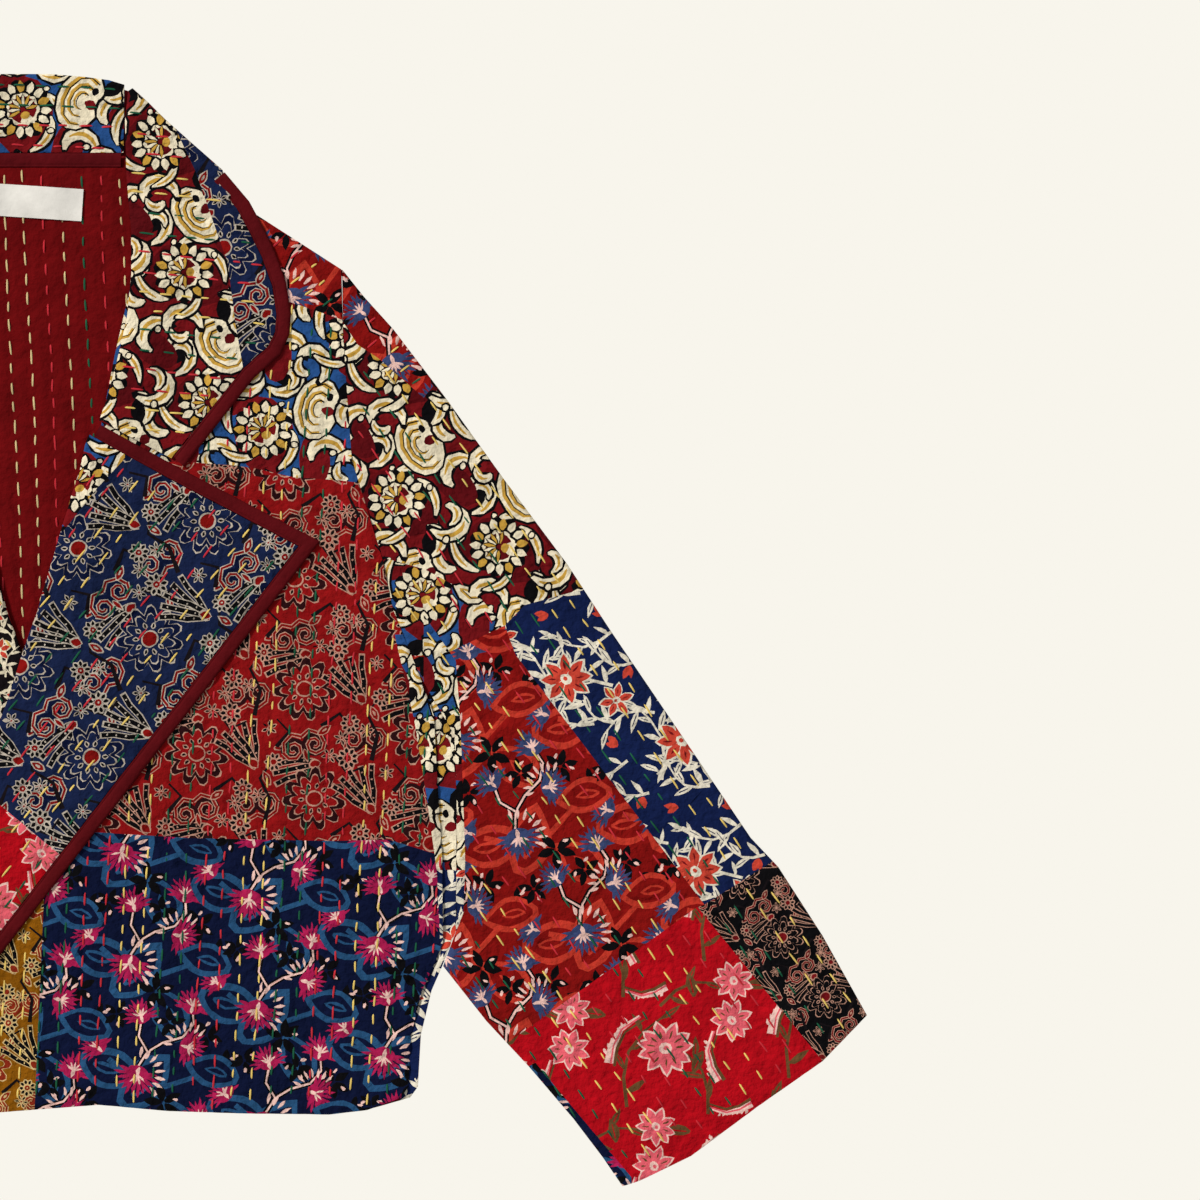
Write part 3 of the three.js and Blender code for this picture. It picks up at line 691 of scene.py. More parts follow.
def draw_ajrakh(pen: Pen, dyes: Dyes) -> None:
    """Large lobed flowers, rosettes, ribbed tulips and scrolls."""
    for x, y, turn in ((40, 6, 8), (2, 41, 98), (-42, -34, 40)):
        with pen.at(x, y - 16, turn):
            Motifs.tulip(pen, dyes, 31)
    for x, y, turn in ((40, 40, 0), (-4, -42, 190)):
        with pen.at(x, y, turn):
            Motifs.scrolls(pen, dyes, 13)
    shadows = (
        [(-38, -16), (-32, 2), (-38, 18), (-28, 30)], [(18, 30), (26, 16), (38, 20)],
        [(10, -28), (24, -20), (34, -34)], [(-24, -40), (-14, -30), (-22, -20)],
    )
    for line in shadows:
        pen.stroke(line, 3.4, Ink.SOOT, 0.4)
    Motifs.sunflower(pen, dyes, 24)
    for x, y, size in ((27, 27, 8.5), (-27, 29, 7.2), (31, -28, 7.6)):
        with pen.at(x, y, 13):
            Motifs.rosette(pen, dyes, size)
    for x, y, turn in ((-28, -26, 20), (24, -38, 100), (-40, 6, 60), (14, 30, 0)):
        with pen.at(x, y, turn):
            Motifs.star(pen, dyes, 6.2)
    for x, y, turn in ((27, 12, 60), (-20, 40, 15), (-33, 18, 110), (12, -31, 30)):
        with pen.at(x, y, turn):
            Motifs.eye(pen, dyes, 12)


def draw_kalamkari(pen: Pen, dyes: Dyes) -> None:
    """Curled leaves round toothed flowers and shells."""
    for x, y, turn, wide, long in (
        (-6, 25, 20, 9, 15), (22, -24, 70, 9, 16), (24, 27, 130, 7, 12),
        (-12, -28, 160, 7, 9), (0, -2, 80, 17, 23),
    ):
        pen.oval(x, y, long, wide, dyes.accent if wide > 8 else dyes.dark, turn)
    for x, y, turn, radius, sweep, width in (
        (22, 28, 200, 12, 210, 7.0), (1, 30, 100, 12, 160, 6.2), (-31, -4, 285, 12, 200, 7.2),
        (-32, -5, 100, 6, 170, 4.8), (-13, -22, 225, 11, 150, 6.0), (4, -29, 150, 13, 180, 7.2),
        (27, -25, 330, 12, 200, 7.0), (5, -27, 215, 7, 180, 4.8), (-17, 23, 60, 10, 160, 6.0),
        (23, 25, 260, 6, 190, 4.6), (-3, 4, 95, 25, 75, 5.0), (3, 2, 265, 24, 70, 5.0),
        (1, 2, 330, 24, 62, 4.6), (-2, 2, 185, 24, 56, 4.6),
    ):
        with pen.at(x, y, turn):
            Motifs.curl(pen, dyes, radius, sweep, width)
    with pen.at(0, 2, 15):
        Motifs.palmette(pen, dyes, 17.5)
    with pen.at(33, 3, 55):
        Motifs.pod(pen, dyes, 19)
    for x, y, size in ((-9, -33, 3.2), (15, 12, 2.6), (-35, 8, 3.0), (14, -12, 2.8), (-14, 34, 2.6)):
        pen.oval(x, y, size, size * 0.8, dyes.dark)
        pen.oval(x, y, size * 0.6, size * 0.5, dyes.line)


def draw_thistle(pen: Pen, dyes: Dyes) -> None:
    """Thistles on dark stems over large leaves drawn in outline."""
    for x, y, turn, size in ((-26, -20, 35, 36), (6, 10, 100, 30), (18, -22, -30, 34), (-28, 16, 150, 28)):
        with pen.at(x, y, turn):
            Motifs.outline_leaf(pen, dyes, size)
    pen.stroke([(-30, 4), (-18, -8), (-2, -12), (14, -8), (30, -16)], 2.6, dyes.line)
    for x, y, size in ((20, 12, 8), (-4, -20, 9), (28, -3, 7), (-24, 26, 7), (2, 20, 7.4)):
        with pen.at(x, y, 50 * size):
            Motifs.blot(pen, dyes, size)
    stems = (
        [(-16, -2), (-10, 6), (-2, 10), (8, 12)], [(-10, 6), (-14, 14), (-12, 22)],
        [(8, 12), (14, 18), (14, 26)],
    )
    for stem in stems:
        pen.stroke(stem, 2.8, dyes.dark)
        pen.stroke(stem, 1.0, dyes.second)
    for x, y, turn, size, ringed in (
        (-16, -5, 160, 10.4, True), (-12, 24, 10, 8.6, False), (14, 27, -20, 9, False),
        (10, 7, -110, 9, True), (27, -18, 40, 8.6, False),
    ):
        with pen.at(x, y, turn):
            Motifs.thistle(pen, dyes, size, ringed)


def draw_vine(pen: Pen, dyes: Dyes) -> None:
    """Pale sprays of leaves with pointed flowers."""
    for x, y, turn, length, bend, leaves in (
        (-34, -16, 12, 44, 9, 8), (-28, 26, -14, 46, -8, 8), (-8, -34, 62, 36, 8, 7), (6, 8, 78, 30, -6, 6),
        (20, -30, 30, 26, 6, 5),
        (-30, -34, 40, 24, 5, 5), (-32, 4, 70, 24, -5, 5), (14, 30, 20, 22, 4, 4),
    ):
        with pen.at(x, y, turn):
            Motifs.sprig(pen, dyes, length, bend, leaves)
    with pen.at(-16, 4, 20):
        Motifs.flower(pen, dyes, 14, 8)
    with pen.at(24, 22, 70):
        Motifs.flower(pen, dyes, 9.5, 6)
    for x, y, turn in ((20, -8, 50), (-30, -30, 120), (2, 36, 10)):
        with pen.at(x, y, turn):
            pen.petal(0, 0, 8, 4.4, dyes.accent)
            pen.petal(35, 0, 7, 3.2, dyes.accent)


def draw_floral(pen: Pen, dyes: Dyes) -> None:
    """Pink flowers, pale feathered leaves and brown stems on a bright ground."""
    brown = replace(dyes, line=dyes.dark)
    for x, y, turn, length, bend, leaves in (
        (-36, -10, 30, 50, 10, 5), (-6, -36, 84, 40, -8, 4), (6, 20, -24, 36, 8, 4)
    ):
        with pen.at(x, y, turn):
            Motifs.sprig(pen, brown, length, bend, leaves)
    for x, y, turn, length in ((-30, 12, 20, 27), (8, -26, 60, 24), (14, 26, 150, 20)):
        with pen.at(x, y, turn):
            Motifs.feather(pen, dyes, length)
    for x, y, size, count in ((-4, 2, 12.5, 11), (30, -6, 9.5, 9), (-30, -26, 9, 9)):
        with pen.at(x, y, 30 * count):
            Motifs.flower(pen, dyes, size, count)
    for x, y, turn in ((22, 14, 60), (-18, 32, 130), (10, -10, 200)):
        with pen.at(x, y, turn):
            pen.petal(0, 0, 12, 5.4, dyes.dark, 2)
            pen.stroke([(2, 0.2), (9, 1.2)], 0.6, dyes.ground)


class Stock:
    """The printed cloths that the patches are cut from."""

    blue_leaves = Fabric(
        "blue_leaves", Dyes(Ink.BLUE, Ink.CREAM, Ink.MAROON), (68, 64), draw_kalamkari, 1.15
    )
    maroon_leaves = Fabric(
        "maroon_leaves", Dyes(Ink.MAROON, Ink.CREAM, Ink.DARK_MAROON), (68, 64), draw_kalamkari, 1.15
    )
    navy_tulips = Fabric(
        "navy_tulips", Dyes(Ink.NAVY, Ink.PEWTER, Ink.BRICK, second=Ink.DEEP_NAVY),
        (82, 80), draw_ajrakh, 0.94,
    )
    red_tulips = Fabric(
        "red_tulips", Dyes(Ink.RED, Ink.DUSK, Ink.BRICK, second=Ink.SMOKE), (82, 80), draw_ajrakh, 0.9
    )
    gold_tulips = Fabric(
        "gold_tulips", Dyes(Ink.MUSTARD, Ink.STRAW, Ink.RUST, second=Ink.RUST), (82, 80), draw_ajrakh, 0.8
    )
    black_scrolls = Fabric(
        "black_scrolls", Dyes(Ink.BLACK, Ink.DUSK, Ink.MAROON, second=Ink.BLACK), (82, 80), draw_ajrakh, 0.6
    )
    navy_thistles = Fabric(
        "navy_thistles", Dyes(Ink.DEEP_NAVY, Ink.STEEL, Ink.MAGENTA, second=Ink.BLUSH),
        (62, 56), draw_thistle, 1.3,
    )
    red_thistles = Fabric(
        "red_thistles", Dyes(Ink.BRICK, Ink.BRIGHT_CORAL, Ink.SLATE, second=Ink.BLUSH),
        (62, 56), draw_thistle, 1.35,
    )
    navy_vines = Fabric(
        "navy_vines", Dyes(Ink.VINE_NAVY, Ink.BONE, Ink.CORAL, Ink.MAROON), (66, 70), draw_vine, 1.15
    )
    black_vines = Fabric(
        "black_vines", Dyes(Ink.SOOT, Ink.CREAM, Ink.CORAL, Ink.GREEN), (66, 70), draw_vine, 0.8
    )
    red_flowers = Fabric(
        "red_flowers", Dyes(Ink.SCARLET, Ink.BLUSH, Ink.PINK, Ink.BROWN, Ink.BLUSH),
        (72, 70), draw_floral, 1.35,
    )
    plain = Fabric(
        "plain", Dyes(Ink.LINING, Ink.LINING_SHADE, Ink.LINING_SHADE), (500, 500), lambda pen, dyes: None
    )


SWAPS = {
    "blue_leaves": Stock.navy_tulips, "red_tulips": Stock.maroon_leaves, "navy_thistles": Stock.red_tulips,
    "gold_tulips": Stock.red_thistles, "red_thistles": Stock.navy_vines, "maroon_leaves": Stock.gold_tulips,
    "navy_vines": Stock.navy_thistles, "red_flowers": Stock.red_tulips, "black_scrolls": Stock.red_flowers,
    "navy_tulips": Stock.black_vines,
}


@dataclass(frozen=True)
class Rows:
    """Rows of running stitches over a panel."""

    turn: float
    stitch: float = 8.0
    gap: float = 4.6
    inks: tuple[Ink, ...] = (
        Ink.THREAD_YELLOW, Ink.THREAD_YELLOW, Ink.THREAD_GREEN,
        Ink.THREAD_GREEN, Ink.THREAD_RED, Ink.THREAD_RED,
    )

    @property
    def across(self) -> Point:
        """Direction from one row to the next."""
        return (math.cos(math.radians(self.turn)), -math.sin(math.radians(self.turn)))

    @property
    def along(self) -> Point:
        """Direction of the rows."""
        return (math.sin(math.radians(self.turn)), math.cos(math.radians(self.turn)))

    def relief(self, x: np.ndarray, y: np.ndarray) -> np.ndarray:
        """Height of the puffed and puckered cloth between the rows."""
        q = x * self.across[0] + y * self.across[1]
        s = x * self.along[0] + y * self.along[1]
        lane = np.sin(np.pi * q / CLOTH.row)
        row = np.floor(q / CLOTH.row + 0.5)
        pucker = np.sin(math.tau * s / (self.stitch + self.gap) + 2.4 * row) * (1 - 0.7 * np.abs(lane))
        ripple = np.sin(s / 2.6 + 1.7 * np.sin(q / 9.0) + row) * np.sin(q / 3.1 + 0.8 * row)
        return CLOTH.puff * (2.0 * np.sqrt(np.abs(lane)) - 0.5) + 0.34 * pucker + 0.2 * ripple


@dataclass(frozen=True)
class Patch:
    """A piece of printed cloth in the patchwork. It may run past its panel."""

    fabric: Fabric
    outline: Line
    turn: float = 0.0
    rows: Rows | None = None


@dataclass(frozen=True)
class Crease:
    """A soft ridge, or a trough where its depth is below zero, laid on the cloth."""

    line: Line
    width: float
    depth: float

    def height(self, x: np.ndarray, y: np.ndarray) -> np.ndarray:
        """How far it lifts the cloth."""
        away = distance_to(self.line, x, y)
        return self.depth * np.exp(-((away / self.width) ** 2))


@dataclass
class Panel:
    """A quilted panel as it is cut and as it lies."""

    name: str
    outline: Line
    patches: list[Patch]
    rows: Rows
    top: Height
    under: Height
    folds: list[Line] = field(default_factory=list)
    fold_radius: float = 2.6
    fold_drop: float = 1.6
    creases: list[Crease] = field(default_factory=list)
    covered: list[Line] = field(default_factory=list)
    grid: tuple[float, float] = (3.2, 4.4)
    inner: Ink = Ink.LINING
    seed: int = 1
    edge_round: float = 1.0
    least: float = 0.8
    grain: float = 0.0

    def surface(self, x: np.ndarray, y: np.ndarray) -> np.ndarray:
        """Height of the top with its quilting, creases and folded edges, in millimetres."""
        relief = self.rows.relief(x, y)
        for patch in self.patches:
            if patch.rows:
                relief = np.where(inside(patch.outline, x, y), patch.rows.relief(x, y), relief)
        level = self.top(x, y) + relief
        for crease in self.creases:
            level = level + crease.height(x, y)
        edge = distance_to(self.outline + self.outline[:1], x, y)
        level = level - self.edge_round * 0.5 * np.exp(-edge / 1.2)
        for fold in self.folds:
            away = np.clip(distance_to(fold, x, y) / self.fold_radius, 0, 1)
            level = level - self.fold_drop * (1 - np.sqrt(np.clip(1 - (1 - away) ** 2, 0, 1)))
        return level


@dataclass
class Flat:
    """Triangles of a flat cut: places in millimetres, three numbers for each face, and its ink."""

    places: np.ndarray
    faces: list[tuple[int, int, int]]
    inks: list[Ink]

    def border(self) -> list[int]:
        """The outer edge as a ring of place numbers."""
        following: dict[int, int] = {}
        edges = {(f[k], f[(k + 1) % 3]) for f in self.faces for k in range(3)}
        for a, b in edges:
            if (b, a) not in edges:
                following[a] = b
        rings = []
        while following:
            start, step = following.popitem()
            ring = [start]
            while step in following:
                ring.append(step)
                step = following.pop(step)
            rings.append(ring)
        return max(rings, key=len)


def spots_of(shapes: list[Shape]) -> tuple[np.ndarray, np.ndarray, np.ndarray]:
    """The corners of many shapes in one row, and where each shape starts in it."""
    corners = np.array([point for shape in shapes for point in shape.points])
    starts = np.cumsum([0] + [len(shape.points) for shape in shapes[:-1]])
    return corners[:, 0], corners[:, 1], starts


class Cutter:
    """Cuts panels into triangles that follow the printed shapes."""

    SPACING = 4.0
    TOLERANCE = 1e-3

    def shapes_of(self, panel: Panel) -> list[tuple[int, Shape]]:
        """The printed shapes with the number of the patch that each is on."""
        found: list[tuple[int, Shape]] = []
        for number, patch in enumerate(panel.patches):
            pen = Pen(panel.seed * 31 + number)
            patch.fabric.print_on(pen, [patch.outline, panel.outline], patch.turn)
            pen.shapes = [shape for shape in pen.shapes if shape.area > panel.least]
            if not pen.shapes:
                continue
            x, y, starts = spots_of(pen.shapes)
            seen = inside(patch.outline, x, y) & inside(panel.outline, x, y)
            for later in panel.patches[number + 1 :]:
                seen &= ~inside(later.outline, x, y)
            for cover in panel.covered:
                seen &= ~inside(cover, x, y)
            shown = np.logical_or.reduceat(seen, starts)
            found += [(number, shape) for shape, keep in zip(pen.shapes, shown) if keep]
        return found

    def grid_of(self, panel: Panel, margin: float) -> Line:
        """Places on the quilting rows and between them, clear of the panel's edge.

        Args:
            panel: The panel.
            margin: The least distance from the edge.

        Returns:
            The places.
        """
        (ax, ay), (bx, by) = panel.rows.across, panel.rows.along
        corners = np.array(panel.outline)
        q, s = corners @ np.array([ax, ay]), corners @ np.array([bx, by])
        step_q, step_s = panel.grid
        qs = np.arange(math.floor(q.min() / step_q), math.ceil(q.max() / step_q)) * step_q
        ss = np.arange(math.floor(s.min() / step_s), math.ceil(s.max() / step_s)) * step_s
        qq, tt = np.meshgrid(qs, ss)
        tt = tt + 0.5 * step_s * (np.round(qq / step_q) % 2)
        x, y = (qq * ax + tt * bx).ravel(), (qq * ay + tt * by).ravel()
        edge = distance_to(panel.outline + panel.outline[:1], x, y)
        keep = inside(panel.outline, x, y) & (edge > margin)
        return list(zip(x[keep].tolist(), y[keep].tolist()))

    def cut(self, panel: Panel) -> Flat:
        """Triangles of the printed side.

        Args:
            panel: The panel.

        Returns:
            The flat triangles with the colour of each.
        """
        shapes = self.shapes_of(panel)
        outline = along_line(panel.outline + panel.outline[:1], self.SPACING)[:-1]
        polygons = [outline] + [along_line(p.outline + p.outline[:1], 6)[:-1] for p in panel.patches]
        polygons += [shape.points for _, shape in shapes]
        places: Line = []
        faces = []
        for polygon in polygons:
            area = sum(a[0] * b[1] - b[0] * a[1] for a, b in zip(polygon, polygon[1:] + polygon[:1]))
            ring = polygon if area > 0 else polygon[::-1]
            faces.append(list(range(len(places), len(places) + len(ring))))
            places += ring
        edges = []
        for fold in panel.folds:
            for distance in (0.25, 0.8, 1.7, panel.fold_radius):
                for side in (-1, 1):
                    line = inset(along_line(fold, 6), side * distance)
                    xs, ys = np.array(line).T
                    keep = inside(panel.outline, xs, ys)
                    for k in range(len(line) - 1):
                        if keep[k] and keep[k + 1]:
                            edges.append((len(places), len(places) + 1))
                            places += [line[k], line[k + 1]]
        places += self.grid_of(panel, 1.6)
        result = delaunay_2d_cdt([Vector(p) for p in places], edges, faces, 1, self.TOLERANCE, True)
        verts, _, triangles, _, _, sources = result
        first = 1 + len(panel.patches)
        spots = np.array([(v.x, v.y) for v in verts])
        pairs = [(tuple(t), s) for t, s in zip(triangles, sources) if 0 in s]
        patch_of = [max((s - 1 for s in source if 1 <= s < first), default=0) for _, source in pairs]
        grounds = [panel.patches[number].fabric.dyes.ground for number in patch_of]
        stacks = [
            [s - first for s in source if s >= first and shapes[s - first][0] == number]
            for (_, source), number in zip(pairs, patch_of)
        ]
        kept = [triangle for triangle, _ in pairs]
        inks = self.inks_on_top(spots, kept, stacks, [shape for _, shape in shapes], grounds)
        return Flat(spots, kept, inks)

    @staticmethod
    def inks_on_top(spots: np.ndarray, faces: list[tuple[int, int, int]], stacks: list[list[int]],
                    shapes: list[Shape], grounds: list[Ink]) -> list[Ink]:
        """The colour of each triangle, from the last shape that truly holds it.

        Args:
            spots: Places of the triangles' corners.
            faces: The triangles.
            stacks: For each triangle, the numbers of the shapes that may hold it.
            shapes: The shapes.
            grounds: For each triangle, the colour of its cloth.

        Returns:
            The colours.
        """
        corners = spots[np.array(faces)]
        middles = corners.mean(axis=1)
        edge_a, edge_b = corners[:, 1] - corners[:, 0], corners[:, 2] - corners[:, 0]
        sizes = 0.5 * np.abs(edge_a[:, 0] * edge_b[:, 1] - edge_a[:, 1] * edge_b[:, 0])
        covered = np.zeros(len(shapes) + 1)
        for size, stack in zip(sizes.tolist(), stacks):
            for number in stack:
                covered[number] += size
        loose = [k for k, shape in enumerate(shapes) if covered[k] > 1.15 * shape.area + 0.2]
        held = {k: inside(shapes[k].points, middles[:, 0], middles[:, 1]) for k in loose}
        inks = []
        for k, (stack, ground) in enumerate(zip(stacks, grounds)):
            true = [number for number in stack if number not in held or held[number][k]]
            ink = shapes[max(true)].ink if true else ground
            inks.append(ink)
        return inks

    def backing(
        self, panel: Panel, ring: Line, step: float, prints: Panel | None = None
    ) -> tuple[Flat, list[int]]:
        """Triangles of the other side, on the same ring of edge places.

        Args:
            panel: The panel.
            ring: The edge places of the printed side, in order.
            step: Distance between the places inside.
            prints: A print for this side, or none for plain cloth.

        Returns:
            The flat triangles, and the place number for each place of the ring.
        """
        inner = replace(panel, outline=ring, rows=Rows(0.0), grid=(step, step))
        places = list(ring)
        faces = [list(range(len(ring)))]
        shapes: list[tuple[int, Shape]] = []
        if prints:
            drawn = self.shapes_of(prints)
            x, y, starts = spots_of([shape for _, shape in drawn])
            clear = inside(ring, x, y) & (distance_to(ring + ring[:1], x, y) > 0.5)
            shapes = [pair for pair, keep in zip(drawn, np.logical_and.reduceat(clear, starts)) if keep]
            for _, shape in shapes:
                faces.append(list(range(len(places), len(places) + len(shape.points))))
                places += shape.points
        places += self.grid_of(inner, min(2.5, step / 2))
        verts, _, triangles, origins, _, sources = delaunay_2d_cdt(
            [Vector(p) for p in places], [], faces, 1, self.TOLERANCE, True
        )
        at = {old: new for new, olds in enumerate(origins) for old in olds}
        spots = np.array([(v.x, v.y) for v in verts])
        pairs = [(tuple(t), s) for t, s in zip(triangles, sources) if 0 in s]
        kept = [t for t, _ in pairs]
        inks = [panel.inner] * len(kept)
        if prints:
            x, y = spots[np.array(kept)].mean(axis=1).T
            number = np.zeros(len(kept), int)
            for k, patch in enumerate(prints.patches):
                number[inside(patch.outline, x, y)] = k
            stacks = [
                [s - 1 for s in source if s >= 1 and shapes[s - 1][0] == number[k]]
                for k, (_, source) in enumerate(pairs)
            ]
            grounds = [prints.patches[k].fabric.dyes.ground for k in number]
            inks = self.inks_on_top(spots, kept, stacks, [shape for _, shape in shapes], grounds)
        return Flat(spots, kept, inks), [at[k] for k in range(len(ring))]


@dataclass
class Shell:
    """A closed surface that is put together from sheets."""

    places: list[tuple[float, float, float]] = field(default_factory=list)
    faces: list[tuple[int, ...]] = field(default_factory=list)
    inks: list[Ink] = field(default_factory=list)

    def add_sheet(self, flat: Flat, heights: np.ndarray, shared: dict[int, int] | None = None) -> list[int]:
        """Adds a sheet, with some of its places taken from the shell.

        Args:
            flat: The triangles.
            heights: The height of each place.
            shared: The shell's number for places that are already in it.

        Returns:
            The shell's number for each place.
        """
        shared = shared or {}
        numbers = []
        for k, ((x, y), z) in enumerate(zip(flat.places.tolist(), heights.tolist())):
            if k in shared:
                numbers.append(shared[k])
            else:
                numbers.append(len(self.places))
                self.places.append((x, y, z))
        for face, ink in zip(flat.faces, flat.inks):
            self.add_face(tuple(numbers[k] for k in face), ink)
        return numbers

    def add_face(self, face: tuple[int, ...], ink: Ink) -> None:
        """Adds a face unless it has fewer than three different places."""
        if len(set(face)) == len(face):
            self.faces.append(face)
            self.inks.append(ink)

    def add_wall(self, first: list[int], second: list[int], ink: Ink, closed: bool = True) -> None:
        """Joins two rows of places with triangles.

        Args:
            first: Place numbers of one row.
            second: As many place numbers of the other row.
            ink: The wall's colour.
            closed: Whether the rows are rings.
        """
        for k in range(len(first) if closed else len(first) - 1):
            n = (k + 1) % len(first)
            self.add_face((first[k], first[n], second[n]), ink)
            self.add_face((first[k], second[n], second[k]), ink)

    def finish(self, name: str, flip: bool, material: bpy.types.Material) -> bpy.types.Object:
        """Makes the object in metres.

        Args:
            name: Its name.
            flip: Whether it is the mirrored half.
            material: Its finish.

        Returns:
            The object, riding on the garment.
        """
        side = -MM if flip else MM
        mesh = bpy.data.meshes.new(name)
        mesh.from_pydata([(x * side, y * MM, z * MM) for x, y, z in self.places], [], self.faces)
        work = bmesh.new()
        work.from_mesh(mesh)
        open_edges = [e for e in work.edges if len(e.link_faces) != 2]
        if open_edges:
            LOG.warning("%s: %d open edges", name, len(open_edges))
        bmesh.ops.recalc_face_normals(work, faces=work.faces)
        if work.calc_volume(signed=True) < 0:
            bmesh.ops.reverse_faces(work, faces=work.faces)
        loose = [v for v in work.verts if not v.link_faces]
        bmesh.ops.delete(work, geom=loose, context="VERTS")
        work.to_mesh(mesh)
        work.free()
        table = {ink: ink.linear for ink in Ink}
        tints = np.array([table[ink] for ink in self.inks], np.float32)
        layer = mesh.color_attributes.new("dye", "FLOAT_COLOR", "CORNER")
        layer.data.foreach_set("color", np.repeat(tints, [len(f) for f in self.faces], axis=0).ravel())
        mesh.polygons.foreach_set("use_smooth", [True] * len(mesh.polygons))
        mesh.set_sharp_from_angle(angle=math.radians(48))
        mesh.materials.append(material)
        made = bpy.data.objects.new(name, mesh)
        bpy.context.scene.collection.objects.link(made)
        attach(made, "root")
        return made


@dataclass(frozen=True)
class FabricFinish:
    """Matt cotton whose colour comes from the mesh or is the same all over."""

    name: str
    plain: Ink | None = None
    roughness: float = 0.92
    crinkle: float = 0.8
    weave: float = 0.25

    def build(self) -> bpy.types.Material:
        """Makes the procedural material."""
        made = bpy.data.materials.new(self.name)
        made.use_nodes = True
        nodes, links = made.node_tree.nodes, made.node_tree.links
        shader = nodes["Principled BSDF"]
        shader.inputs["Roughness"].default_value = self.roughness
        shader.inputs["Specular IOR Level"].default_value = 0.06
        place = nodes.new("ShaderNodeTexCoord")
        fade = nodes.new("ShaderNodeTexNoise")
        fade.inputs["Scale"].default_value = 55.0
        fade.inputs["Detail"].default_value = 5.0
        links.new(place.outputs["Object"], fade.inputs["Vector"])
        span = nodes.new("ShaderNodeMapRange")
        span.inputs["From Min"].default_value = 0.3
        span.inputs["From Max"].default_value = 0.7
        span.inputs["To Min"].default_value = 0.82
        span.inputs["To Max"].default_value = 1.12
        links.new(fade.outputs["Fac"], span.inputs["Value"])
        tint = nodes.new("ShaderNodeMix")
        tint.data_type = "RGBA"
        tint.blend_type = "MULTIPLY"
        tint.inputs["Factor"].default_value = 1.0
        if self.plain:
            tint.inputs["A"].default_value = self.plain.linear
        else:
            dye = nodes.new("ShaderNodeVertexColor")
            dye.layer_name = "dye"
            links.new(dye.outputs["Color"], tint.inputs["A"])
        links.new(span.outputs["Result"], tint.inputs["B"])
        links.new(tint.outputs["Result"], shader.inputs["Base Color"])
        crinkle = nodes.new("ShaderNodeTexNoise")
        crinkle.inputs["Scale"].default_value = 210.0
        crinkle.inputs["Detail"].default_value = 3.0
        links.new(place.outputs["Object"], crinkle.inputs["Vector"])
        soft = nodes.new("ShaderNodeBump")
        soft.inputs["Strength"].default_value = self.crinkle
        soft.inputs["Distance"].default_value = 0.0028
        links.new(crinkle.outputs["Fac"], soft.inputs["Height"])
        weave = nodes.new("ShaderNodeTexNoise")
        weave.inputs["Scale"].default_value = 1500.0
        weave.inputs["Detail"].default_value = 1.0
        links.new(place.outputs["Object"], weave.inputs["Vector"])
        fine = nodes.new("ShaderNodeBump")
        fine.inputs["Strength"].default_value = self.weave
        fine.inputs["Distance"].default_value = 0.0003
        links.new(weave.outputs["Fac"], fine.inputs["Height"])
        links.new(soft.outputs["Normal"], fine.inputs["Normal"])
        links.new(fine.outputs["Normal"], shader.inputs["Normal"])
        return made


class Finishes:
    """The materials, made once."""

    def __init__(self) -> None:
        """Builds each finish."""
        self.printed = FabricFinish("printed_cotton").build()
        self.lining = FabricFinish("lining_cotton", crinkle=0.6).build()
        self.binding = FabricFinish("binding_cotton", Ink.DARK_MAROON, 0.85, 0.35).build()
        self.label = FabricFinish("woven_label", Ink.WHITE, 0.8, 0.1).build()
        self.thread = FabricFinish("cotton_thread", None, 0.7, 0.0, 0.4).build()


